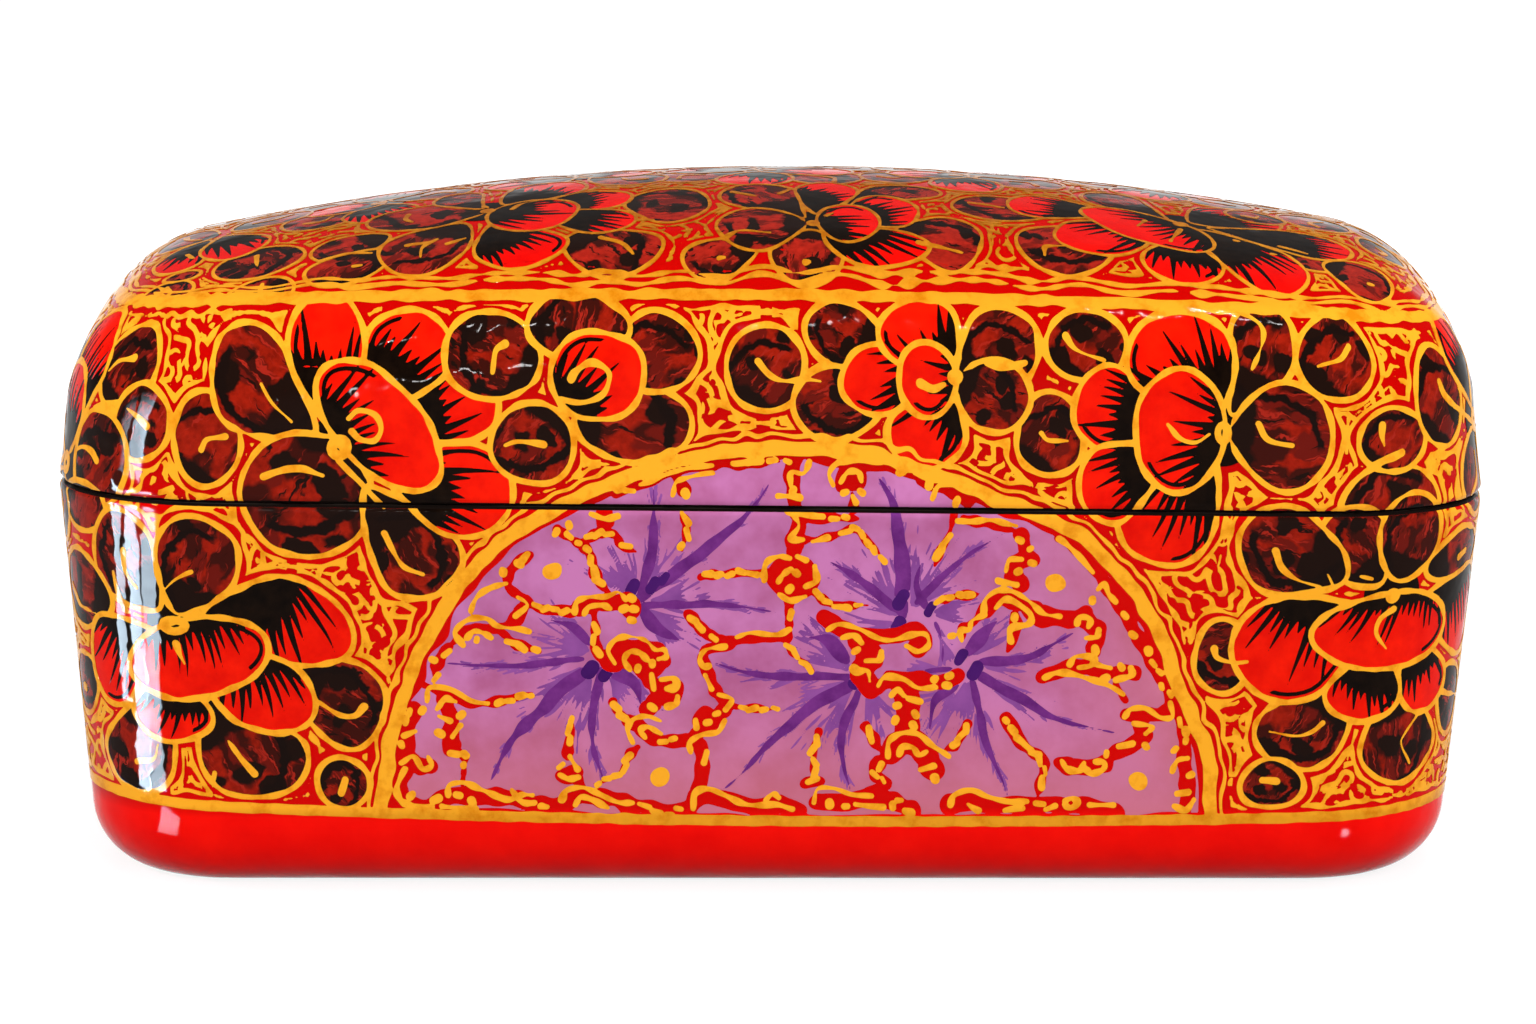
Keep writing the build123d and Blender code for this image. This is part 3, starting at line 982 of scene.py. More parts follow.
# The smaller flowers between the two rows lie below the large ones. The first stands alone in the middle.
CROWN_MIDDLE = [
    ((0, 0),
     [(-8.8, -3.9, 4.4, 4.2, 0.4), (8.8, 3.9, 4.4, 4.2, 0.4), (-6, 6.2, 4.2, 3.8, 0.4),
      (6, -6.2, 4.2, 3.8, 0.4)],
     [(-1.6, -6.9, 4.2, 3.9, 0.5, 0.45), (1.6, 6.9, 4.2, 3.9, 0.5, 0.45), (-7.4, 1.4, 4.4, 3.6, 0.5, 0.45),
      (3.8, -0.9, 5.4, 3.5, 0.15, 0.35, -14)]),
    ((-20.5, 1),
     [(-27.8, 3.4, 4.4, 4.1, 0.4), (-15.4, -4.4, 4.2, 3.8, 0.4), (-13.6, 4.6, 3.9, 3.7, 0.4)],
     [(-21.4, 7.3, 4, 4, 0.5, 0.45), (-26.8, -2.8, 4.4, 3.6, 0.5, 0.5),
      (-17.4, 1.2, 4.6, 3.3, 0.15, 0.35)]),
    ((-43, -4.4),
     [(-48.6, -9.6, 4.4, 4, 0.3), (-48.6, 1.2, 4.4, 4.2, 0.3), (-36.6, -2.6, 4.2, 3.8, 0.4)],
     [(-41.8, 2.2, 4.4, 4, 0.5, 0.45), (-42.2, -10.4, 4.2, 3.8, 0.5, 0.5),
      (-46.4, -4.4, 4.4, 3.2, 0.15, 0.35)]),
    ((-61.5, -1),
     [(-66.2, 3.6, 3.2, 4.2, 0.2), (-59.4, 5.2, 4, 4.2, 0.2), (-63.6, -25.4, 3, 2.6, 0),
      (-66, 11.8, 2.6, 3.4, 0.1), (-52.6, 8, 3.4, 3, 0), (-53.2, -29, 3.6, 2.4, 0)],
     []),
]
CROWN_COMMAS = [
    [(-54.5, -19.9), (-54.1, -23)], [(-47.5, -24.4), (-44.6, -23.5), (-42.1, -24.3)],
    [(-43.8, -27.1), (-43.2, -27.1)], [(-35.3, -22.8), (-36.5, -24.6), (-36.4, -26.9)],
    [(-38.3, -23.7), (-35.6, -23.4)], [(-34, -24.4), (-32.2, -23.5)],
    [(-39.2, -13.1), (-39.2, -14.9), (-38.2, -16.4)], [(-27.7, -15.6), (-26.7, -13.8), (-24.9, -12.9)],
    [(-17.7, -26.2), (-15.5, -27.5), (-14.3, -29.6)], [(-14.1, -22.1), (-12.3, -22.3)],
    [(-4.9, -27.6), (-3.1, -25.9), (-0.1, -26.5)], [(-4.1, -13.5), (-0.9, -15.6)],
    [(0.9, -14.3), (2, -12.6)], [(5.9, -22), (6.8, -20.9)], [(15.5, -27.6), (20, -29.2)],
    [(21.3, -15.8), (24.8, -16.9)], [(28.6, -28.6), (28.9, -27), (30.9, -26.5)],
    [(3.7, -30.9), (4.2, -30.8)], [(-5.3, -30.2), (-4.7, -30.2)], [(40, -16.7), (39.2, -18.7)],
    [(43.5, -18.3), (42.2, -22.3)], [(54, -19), (57, -20)], [(62.8, -25.3), (63.2, -25.3)],
    [(49.3, -19.3), (49.7, -19.3)], [(53.1, -21.8), (53.5, -21.8)], [(-62.4, -14.4), (-61.8, -16.2)],
    [(-63.8, -4.6), (-63.2, -7.2), (-62, -8.6)], [(-52.6, -2.6), (-54.6, -4), (-56.6, -4.4)]]


def turned(places, way):
    """Places on the crown as they are, or turned half round its middle where way is -1."""
    return [(way * x, way * y, *rest) for x, y, *rest in places]


crown_ring = (0.45, 0.45, 0.34)
paint_flower(crown, *CROWN_MIDDLE[0], seed=119, ring=crown_ring)
for way in (1, -1):
    for count, (knot, dark, red) in enumerate(CROWN_MIDDLE[1:] + list(CROWN_FLOWERS.values())):
        ring = crown_ring if count < 2 or 2 < count < 6 else None
        paint_flower(crown, *turned([knot], way), turned(dark, way), turned(red, way), seed=120 + count,
                     commas=count < 3, ring=ring)
for way in (1, -1):
    for path in CROWN_COMMAS:
        comma(crown, turned(path, way), 0.3, 0.14)
print("petals on the crown:", len(crown.petals))

# %% The crown's border, found on the shoulder
border_along = np.arange(-half_girth, half_girth, 3.0)
border_places, _ = surveys["lid"].look_up(border_along, shoulder_band(across_box(border_along)))
border = border_places[:, :2] / MM
coarse_u = np.arange(-crown_long - 1, crown_long + 1.5, 1.0)
coarse_v = np.arange(-crown_deep - 1, crown_deep + 1.5, 1.0)
coarse = area_field(*np.meshgrid(coarse_u, coarse_v), border)
flat_u, flat_v = np.meshgrid(crown.u, crown.v)
every_place = np.stack([flat_u.ravel(), flat_v.ravel()], 1)
inside_border = read_field(coarse, coarse_u, coarse_v, every_place).reshape(flat_u.shape)
trim(crown, inside_border - 0.45)
wobble = ripples(crown.free.shape, crown.step, 9.0, 51)
for centre, half in ((1.2, 0.2), (1.95, 0.2)):
    line = half + 0.07 * crown.press - np.abs(inside_border - centre - 0.24 * wobble)
    np.maximum(crown.paint["gold"], np.minimum(line, inside_border - 0.45), out=crown.paint["gold"])
np.minimum(crown.free, inside_border - 2.2, out=crown.free)
add_lace(crown, 15)
print(f"gold covers {100 * (crown.paint['gold'] > 0).mean():.0f}% of the crown sheet")

# %% [markdown]
# ## The lilac panel
# Under the arch the painter lays lilac, leaving thin wandering channels of red ground. Small gold beads and
# bows follow the channels, and bursts of violet brush strokes fan out from five points. Each channel and
# each bow is a path with a few points. The paths are rounded by a curve that goes through all of them.

# %% Channels of red in the lilac
# half width of the channel, then the points that it goes through
CHANNELS = [
    (0.55, [(-25, -5), (-27, -7), (-27.3, -8.8), (-25.6, -10.2), (-24, -11), (-21, -11), (-19.5, -10.8)]),
    (0.6, [(-25.6, -10.2), (-26.5, -12), (-28, -12.8), (-30, -13), (-32, -13.5), (-34, -15.5)]),
    (0.45, [(-28, -13.2), (-26.5, -14.5), (-24, -15.5)]), (0.6, [(-33.5, -15), (-34.6, -17), (-35.2, -19)]),
    (0.5, [(-22.3, -2.3), (-20.8, -3.3), (-19.5, -4), (-18.6, -5), (-18.2, -6.5), (-17.8, -8),
    (-16.3, -9.3)]), (0.5, [(-19.3, -3.8), (-18, -3), (-17, -2.8), (-16, -3), (-15.5, -4), (-14, -4.6)]),
    (0.9, [(-17.3, -0.8), (-17, -1.6)]), (0.5, [(-17, -1.5), (-17, -2.8)]),
    (0.95, [(-19.5, -10.6), (-17, -10.2), (-15, -10), (-14.3, -11)]),
    (0.6, [(-18.3, -11), (-18.2, -13.5), (-18, -15.5), (-17.2, -16.5)]),
    (1.15, [(-16.6, -16.4), (-15.3, -15.2), (-13.4, -15), (-11.7, -15.6), (-11.8, -16.8)]),
    (1.0, [(-14.5, -16.5), (-13, -17), (-11.8, -17.4)]),
    (0.75, [(-13.8, -17.3), (-12.6, -18.5), (-11.8, -19.5), (-12.2, -20.8), (-12.9, -21.7)]),
    (1.35, [(-11, -19.6), (-10.3, -19.8)]),
    (0.85, [(-14.6, -23), (-13.6, -23.6), (-13, -24.6), (-11, -25.2), (-8.8, -25)]),
    (0.45, [(-16.5, -21), (-15.8, -22), (-14.8, -22.6)]),
    (0.32, [(-14, -25.8), (-15, -27), (-15.8, -28.6), (-17, -29.3), (-19.5, -30)]),
    (0.55, [(-36, -19.3), (-33.5, -20.3), (-31, -21), (-28.5, -21.1), (-25, -19.9)]),
    (0.9, [(-34, -20.8), (-33.5, -22.5), (-33.2, -24.5), (-33.5, -26)]),
    (0.5, [(-33.5, -26), (-32, -27), (-32, -28.5), (-32.2, -30)]),
    (0.9, [(-37.2, -22), (-38, -25), (-38, -27), (-37, -28), (-35.8, -28)]),
    (0.9, [(-38.4, -28), (-39, -30), (-39.2, -32)]), (0.95, [(-40, -32.4), (-36, -32.6), (-33, -31.3),
    (-30, -31.5), (-27, -31.4), (-24.5, -32), (-22, -32.3), (-20, -31.2), (-18, -31.2), (-15, -31.8),
    (-12, -32.6), (-9, -32.4), (-7.5, -31.2), (-5, -31.3), (-2, -32), (1, -31.9), (3, -32.8)]),
    (1.0, [(-21.4, -28.9), (-20.6, -28.2)]), (0.42, [(-21, -27), (-21, -25), (-20.7, -21.8)]),
    (0.6, [(-20.4, -29), (-19.8, -30.6)]), (0.6, [(-8.5, -11.3), (-7.6, -12.2), (-6.5, -13.2), (-5.3, -14),
    (-4.5, -14.4), (-2, -14), (0, -14), (1.5, -13.8), (2, -12.5)]),
    (0.7, [(-4, -14.6), (-6.5, -15.2), (-6.8, -16.8), (-6.2, -18.5), (-5.5, -20), (-4.5, -20.8)]),
    (0.34, [(-4.5, -20.9), (-3, -21.3), (1.5, -21.5)]),
    (0.75, [(-4.6, -21), (-5.5, -22.3), (-6.5, -23), (-7.5, -24), (-8, -25.4)]),
    (1.25, [(-6.8, -22.6), (-6.1, -22.9)]), (0.8, [(-7.3, -25.5), (-7, -28), (-7.5, -31)]),
    (0.42, [(-7.3, -7.2), (-5.5, -7), (-3.5, -6.8), (-1, -6.8), (0.5, -6.5)]),
    (2.5, [(2.1, -7.1), (2.6, -7.4)]),
    (0.85, [(2.3, -4.5), (2.5, -3), (3, -1.2), (2.4, 0.4), (2.4, 2.6), (2.5, 5)]),
    (0.6, [(2.2, -9.8), (2, -11.5), (2, -13)]), (0.36, [(1.5, -14.5), (3, -16), (4.5, -17.4)]),
    (0.42, [(4.5, -8.5), (5.5, -9.5), (7, -10.2), (9, -10), (10.5, -10)]),
    (0.45, [(3.5, -3.2), (6, -2.8), (8.5, -2), (10, -3.5), (12, -5.5)]),
    (0.6, [(3, -1), (6, -0.7), (9, -0.9)]), (0.95, [(5.7, -11.6), (7, -12.5), (9, -13.3), (12, -13.6),
    (14.5, -12.8), (15.9, -13.8), (15.2, -14.9)]),
    (1.25, [(9.2, -14), (10.3, -16), (9.7, -17.6), (10.5, -18.9)]),
    (0.85, [(11, -19), (13, -18.4), (16, -18.2), (18.5, -18), (19.6, -17.4)]),
    (1.25, [(13.9, -19), (14.3, -21), (14.2, -23.5)]),
    (1.25, [(12.8, -26), (13.4, -25), (15, -24.9), (16.3, -26.4), (16.8, -28)]),
    (0.55, [(9.8, -23.3), (11, -25), (12, -26)]), (0.5, [(20.6, -23), (19.8, -25), (18, -26)]),
    (0.8, [(11.6, -27), (11, -28.5), (12, -29.5), (10.5, -30.8)]),
    (0.38, [(5.2, -24), (4.3, -26.5), (4.4, -29)]), (0.7, [(3.6, -29.6), (4.8, -29.4)]),
    (0.95, [(5, -31.5), (8, -31.7), (11, -31.2), (14, -32), (15.2, -32.6)]),
    (1.0, [(18.8, -31.6), (21, -31.1), (24, -31.8), (28, -31.6), (32, -31.6), (36, -32.4)]),
    (0.36, [(19, 0), (18.5, -2), (17.5, -4.5), (17, -5.8)]),
    (0.55, [(20, -0.9), (22, -1.2), (24, -1.6), (26, -2)]), (0.8, [(25.8, -2.3), (26.5, -4), (27.3, -5)]),
    (0.95, [(26.8, -4.6), (25.2, -5.7), (25.2, -7), (26, -8)]),
    (0.95, [(22.6, -10.4), (24, -9.2), (26.5, -10.1), (28, -11.2), (31, -11.5), (32.5, -11)]),
    (0.5, [(25.5, -11), (25.5, -12.8), (24.5, -15)]), (0.36, [(17.2, -9.8), (19.5, -9), (22.5, -8.6)]),
    (0.55, [(22, -10.8), (21, -12), (20, -12.6), (20.2, -13.9)]),
    (1.0, [(32.6, -11), (33, -12), (34, -13), (33.5, -14.5)]),
    (0.8, [(28.5, -17.8), (31.5, -16.5), (34, -16.9), (36.5, -17.1), (38, -17.4)]),
    (0.5, [(36, -18.5), (37, -20.2)]), (0.75, [(37, -21.7), (39, -21.7), (41, -21.4), (42, -20.5)]),
    (0.85, [(38.6, -22.6), (39, -24), (38, -25), (36, -26), (34.8, -27), (32, -27.5), (30.4, -27.2)]),
    (0.65, [(24.6, -22), (26, -24.5), (27.5, -26), (28.5, -27.5), (28, -30.5)]), (0.75, [(30.5, -2.6),
    (33.4, -5.5), (34.9, -8), (36.9, -11), (38.7, -14), (40.9, -18), (42.4, -21), (43.3, -24), (43.2, -27),
    (43.8, -30), (43.5, -32.2)]),
    (0.55, [(-16, 1.6), (-12.5, 2.7), (-9, 3.7), (-5, 4.5), (-2, 4.8), (1, 4.9)]),
    (0.6, [(-10, 3.2), (-9, 1.6)]), (0.45, [(-9, -0.6), (-8.6, -2), (-9.2, -4.4)]),
    (1.5, [(8, 3.3), (8.6, 3.2)]), (0.55, [(8.5, 1.8), (8.5, 0.3)]),
    (0.6, [(9, 4.6), (12.5, 4.6), (15, 3.6)]), (0.95, [(15.5, 3.2), (18.5, 2.2), (20.5, 1.2)])]
# the longer gold strokes: bows, hooks and waves
GOLD_STROKES = [
    [(-32, -14.8), (-33, -13.3), (-31.5, -12), (-29.5, -11.8), (-28, -12.8), (-25.2, -13.4)],
    [(-31.5, -13.9), (-30.8, -13.2), (-29.8, -13.4), (-29, -14)],
    [(-31, -11), (-30.2, -9.5), (-29, -8.7), (-27.5, -8.3)],
    [(-26.5, -9.8), (-25.5, -10.6), (-26.7, -11.8)], [(-18.5, -0.8), (-17, -1.3), (-15.7, -0.9)],
    [(-20.3, -11.2), (-20, -10), (-18.8, -9.5), (-17, -9.4), (-15.8, -9), (-15, -9.8)],
    [(-19.3, -11.4), (-18.8, -10.6), (-17.5, -10.4), (-16.6, -10.8)], [(-16.3, -16.6), (-16.8, -15.2), (-16,
    -14), (-14.5, -13.7), (-13, -14.2), (-12, -15.2), (-11, -15.2), (-10.8, -16), (-11.6, -16.3)],
    [(-14.7, -17.4), (-15.3, -16.2), (-14.6, -15.3), (-13.6, -15.5), (-12.8, -16.3)],
    [(-12.3, -18), (-12.1, -19.5)], [(-11.3, -18.5), (-10, -18.4), (-9.7, -19.2), (-10.8, -19.4)],
    [(-10.8, -21.1), (-9.8, -20.8), (-9.6, -20.2)],
    [(-14.5, -25.4), (-14.9, -24), (-14.2, -22.8), (-12.8, -22.4), (-11.5, -22.7)],
    [(-13.3, -24.8), (-13.7, -24), (-12.8, -23.5), (-11.5, -24.2)],
    [(-35.8, -21), (-35.5, -19.6), (-33.5, -19.6), (-31.5, -20.6), (-29.5, -21.2)],
    [(-34.8, -21.8), (-34, -20.7), (-32.9, -20.9)], [(-34.6, -22.5), (-33.5, -22.9)],
    [(-33.2, -24.6), (-32.4, -23.4)], [(-38.2, -24.8), (-37, -24.2)],
    [(-38.8, -27.8), (-37.5, -27), (-36.6, -28.4), (-35.6, -27.9), (-35.9, -26.9)],
    [(-38.5, -28.5), (-39.4, -30.6), (-38.9, -32), (-37.8, -32.5)], [(-38, -32.6), (-35.5, -32.7)], [(-33.6,
    -31.3), (-33.5, -30.1), (-32, -29.8), (-30.5, -30.6), (-29, -31.3), (-27.5, -31.6), (-26, -31), (-24.8,
    -31)], [(-27.3, -30.6), (-26, -31.8), (-24.6, -31.9)], [(-34.3, -32.6), (-31, -32.6)],
    [(-22, -31.8), (-21.5, -30.6), (-19.8, -30.2), (-18, -31), (-16, -31.8), (-14.3, -31.8)],
    [(-20.7, -32.4), (-20.2, -31.4), (-19, -31.6), (-17, -32.5)],
    [(-21.9, -28.7), (-21.2, -29.2), (-20.2, -29)], [(-22, -27.9), (-21.5, -27.5)],
    [(-20.8, -26.8), (-20.2, -28)], [(-3.3, -13.8), (-2, -13.4), (0.5, -13.6), (2, -12.9)],
    [(-4.5, -14.8), (-6.5, -15), (-7.3, -16), (-7, -17), (-6.3, -16.8)], [(-6.8, -18), (-6.2, -19.4)],
    [(-5.5, -20), (-4.2, -20.4), (-4.8, -21.6)],
    [(-4.8, -22.8), (-5.5, -24), (-7.3, -24.4), (-8.4, -25.3), (-8.3, -26.5)],
    [(-7.8, -22.6), (-7.7, -23.5)], [(-6.6, -26.3), (-6.9, -27.6)],
    [(-8.2, -32.3), (-7.8, -30.7), (-6.3, -30.3), (-4.5, -31), (-2.5, -31.8), (0.5, -31.8), (2.5, -32.5)],
    [(-0.5, -31.3), (0.3, -30.7), (1, -31.2)], [(-0.6, -7.6), (-0.5, -5.9), (0.8, -5), (2, -5.2)],
    [(2.7, -5), (3.6, -5.4)], [(1, -7.7), (1.5, -6.9), (2.2, -6.4)], [(3.9, -8.1), (4.9, -7.5), (4.6, -6)],
    [(1.1, -9.1), (2.4, -9.7), (3.9, -9.2)], [(1.6, -0.4), (3, -0.5), (5.5, -0.6)],
    [(2.4, -0.6), (2.9, -1.8), (1.9, -3.2), (3.3, -3.2)], [(4.2, -3.4), (5.8, -2.9)],
    [(4, 4.9), (3.5, 3.7), (2.3, 3.8), (2.2, 2.4)], [(1.6, 5), (2.1, 4.8)], [(0.8, 1.3), (3.2, 1.2)], [(5.8,
    -12.8), (7, -12.2), (9, -12.7), (11, -13.8), (12.5, -14), (14.5, -13.3), (16, -13.2), (16.4, -14.3),
    (15.3, -15.1), (14.1, -14.6)], [(7.4, -13.7), (8.6, -13.5), (9.4, -14.4)],
    [(10, -16.3), (11.3, -16.3), (11.5, -15.4)], [(9, -17.4), (10.2, -17.3), (10.4, -18.3)],
    [(11.3, -18.8), (12, -18.1), (14, -18.2), (15.5, -18.9), (17.2, -18.7)],
    [(12.7, -19.9), (13.4, -19.3), (14, -19.9)], [(14.4, -20.2), (15.6, -20.4)],
    [(12.4, -26.4), (12.5, -24.8), (13.8, -23.9), (15.5, -24), (17, -25.3), (18.5, -26.5)],
    [(13.6, -26.2), (13.9, -25.3), (15, -25.4), (15.5, -26.3), (16.3, -25.9)], [(15.7, -28), (16.8, -27.5)],
    [(4.6, -31.8), (4.8, -30.3), (6.5, -30.2), (8.5, -30.9), (10.5, -31)], [(8.8, -31.9), (11.8, -32.2)],
    [(19, -31.5), (19.3, -30.4), (21, -30), (23, -30.8), (25, -31.4), (27, -31.2)],
    [(20.8, -31.4), (22, -32.3)], [(24.8, -32.4), (26.5, -32)], [(33.5, -31.6), (35.8, -31.7)],
    [(30.9, -31), (31.6, -30.7), (32.2, -31.3), (31.5, -31.9), (30.9, -31.4)],
    [(19.3, -0.9), (21, -1), (23, -0.9), (25.5, -1.4)], [(24.3, -6.4), (24.7, -5.2), (26, -5)],
    [(23.5, -7.4), (25.5, -7.9)],
    [(22.2, -10.8), (22.3, -9.2), (23.5, -8.4), (25, -8.5), (26.8, -9.6), (28.3, -10.9), (30, -11.2)],
    [(23.5, -10.2), (24.2, -9.4), (25.3, -9.6), (27, -11), (26.8, -12), (25, -12.5), (24.9, -13.8)],
    [(22.3, -11), (21, -11.7), (20.8, -12.8), (19.7, -12.8), (20, -14)],
    [(31.9, -12.1), (32.1, -11.3), (33.2, -11.5), (33, -12.4)],
    [(32.8, -13.6), (33.9, -13.4), (34.1, -12.7)],
    [(31.3, -16.3), (32, -15.5), (33.7, -15.6), (33.4, -16.4), (32.2, -16.6)],
    [(28.7, -17.8), (30, -17.2), (32, -17.4), (34.5, -18.2), (36.8, -19.5)], [(34, -16.3), (35.5, -16.6)],
    [(36, -18), (37.8, -17.6), (37.7, -16.7)],
    [(36.9, -22), (37.5, -21.1), (39, -20.9), (40.5, -21.8), (41.9, -21.8), (41.8, -20.4)],
    [(37.9, -22.7), (39.7, -22.8), (39.2, -23.7)], [(30.5, -27), (31, -27.8), (32.3, -27.9), (32.8, -27)],
    [(32.9, -27.6), (33.6, -28.1), (34.8, -27.6), (35, -26.8), (33.9, -26.8)], [(36.5, -25.2), (38, -24.9)],
    [(30, -2.9), (31.5, -4.3), (33.3, -6.3)], [(33.9, -8.2), (34.6, -7.5), (35.1, -8.8), (35.8, -9.6)],
    [(42.2, -27.9), (42.6, -26.7), (43.6, -26.5)], [(42.3, -31.5), (43.6, -32), (44.4, -31)],
    [(42.6, -30.3), (43.8, -30.2)], [(-13.5, 2.4), (-11, 3.2), (-8.5, 3.9), (-6, 4.4)],
    [(-10, 1.2), (-9.8, 2.4), (-8.2, 3), (-6, 3.6)], [(-4, 4.7), (-1, 5)],
    [(6.5, 2.7), (6.1, 3.8), (6.9, 4.8), (8.5, 5), (11.5, 4.9)], [(7.3, 3), (8, 3.9), (9.2, 3.9), (9.5, 3)],
    [(16.6, 1.1), (17.3, 2.4), (19, 2.4), (20.4, 2.2)], [(14.8, 3.9), (16.5, 3.2), (18.8, 2.9)],
    [(-9, -0.5), (-8.3, -1.5)], [(-8.6, -2.2), (-8.4, -3.2)]]
GOLD_DOTS = [(-22.5, -6.8), (-11.5, -28.9), (29.5, -7.5), (38.6, -29.0)]
GOLD_BEADS = [
    (-30.5, -14.1), (-15.2, -10.8), (-12.2, -16.8), (-13.9, -17.3), (-12.3, -21.3), (-32.4, -22.2),
    (-34.5, -24.3), (-37.8, -31.4), (-32.6, -31.2), (-31.3, -31.9), (-6.5, -22.9), (2.9, -6.8), (2.3, -8.4),
    (2.4, 1.9), (8.9, -15.2), (8.8, -17.1), (13.3, -21), (15.1, -21.8), (13, -22.6), (14.9, -23.1),
    (17.2, -17.8), (18.7, -17.5), (18.4, -18.6), (17, -29), (25.6, -6.4), (27.2, -5.4), (25.8, -2.9),
    (27, -3.8), (18.8, -13.4), (33.8, -14.7), (34.9, -17.7), (36.6, -16.5), (35.2, -26), (39.4, -25.1),
    (33.4, -9.4), (36.8, -11), (37.7, -13), (39.4, -14.9), (40.9, -18.7), (42.3, -25.4), (43.9, -28.4),
    (7.8, 1.9), (9.4, 1.9), (13.4, 4), (16.2, 2.4), (19.2, 0.9), (6.1, -31.9), (12.9, -32.1), (-26, -6.1),
    (-27.7, -7.1), (-22.4, -2.6), (-20.9, -1.9), (-8.7, 1.2), (-35, -16.5), (-36.3, -22), (-14.4, -9.7),
    (-14.1, -10.9), (-14.4, -12)]


def rounded(path, steps=6):
    """A rounded line through three or more points, or a plain one between two."""
    return smooth_path(path, steps) if len(path) > 2 else np.array(path, float)


panel_lots = random.Random(23)
panel_inside = np.minimum(arch_inside - 0.5, from_foot - 0.4)
wander = ripples(wall.free.shape, wall.step, 6.0, 91)
channel_field = np.full(wall.free.shape, -FAR)
for half, path in CHANNELS:
    fine = rounded(path)
    wide = half + 0.07 * np.sin(np.linspace(0, 1.1 * len(fine), len(fine)) + panel_lots.uniform(0, 6))
    if half < 0.7 and len(fine) > 6:
        wide[-5:] = wide[-5:] * np.array((0.9, 0.75, 0.6, 0.45, 0.25))
    for window, shift in wall.places(fine, 4.5):
        x, y = wall.hand_u[window] - shift, wall.hand_v[window]
        new = stroke_field(x, y, fine, wide) + 0.1 * wall.press[window] + 0.06 * wander[window]
        np.maximum(channel_field[window], new, out=channel_field[window])
edge = np.minimum(arch_inside - 1.3 + 0.2 * wander, from_foot - 0.75 + 0.1 * wander)
np.maximum(wall.paint["lilac"], np.minimum(edge, -channel_field), out=wall.paint["lilac"])
lilac_share = (wall.paint["lilac"] > 0).mean()
print(f"{len(CHANNELS)} channels, lilac covers {100 * lilac_share:.0f}% of the wall sheet")


# %% Gold strokes and beads
def bead(x, y, turn, long=0.55, wide=0.4):
    """One small gold bead, a little longer than wide."""
    dx, dy = (long - wide + 0.05) * math.cos(turn), (long - wide + 0.05) * math.sin(turn)
    wall.stroke("gold", [(x - dx, y - dy), (x + dx, y + dy)], wide, inside=panel_inside)


for path in GOLD_STROKES:
    fine = rounded(path)
    thick = panel_lots.uniform(0.25, 0.31) + 0.05 * np.sin(np.linspace(0, 0.9 * len(fine), len(fine)))
    wall.stroke("gold", fine, thick, inside=panel_inside)
stroke_points = np.vstack([rounded(path, 4) for path in GOLD_STROKES])
for x, y in GOLD_BEADS:
    bead(x, y, panel_lots.uniform(0, 3), 0.5, 0.4)
for x, y in GOLD_DOTS:
    bead(x, y, 0.4, 1.0, 0.94)
taken = np.vstack([stroke_points, GOLD_BEADS])
beads = 0
for half, path in CHANNELS:
    fine = smooth_path(path, 10)
    runs = np.concatenate([[0], np.cumsum(np.hypot(*np.diff(fine, axis=0).T))])
    at = panel_lots.uniform(0.3, 0.8)
    while at < runs[-1] - 0.2:
        x, y = (np.interp(at, runs, fine[:, k]) for k in range(2))
        ahead_x, ahead_y = (np.interp(min(at + 0.4, runs[-1]), runs, fine[:, k]) for k in range(2))
        turn = math.atan2(ahead_y - y, ahead_x - x + 1e-6)
        off = panel_lots.uniform(-0.55, 0.55) * half
        turn += panel_lots.uniform(-0.45, 0.45)
        x, y = x - off * math.sin(turn), y + off * math.cos(turn)
        if np.hypot(*(taken - (x, y)).T).min() > 0.95:
            bead(x, y, turn, panel_lots.uniform(0.4, 0.8), panel_lots.uniform(0.29, 0.38))
            taken = np.vstack([taken, (x, y)])
            beads += 1
        at += panel_lots.uniform(0.95, 1.35)
print("beads:", beads + len(GOLD_BEADS), "gold strokes:", len(GOLD_STROKES))

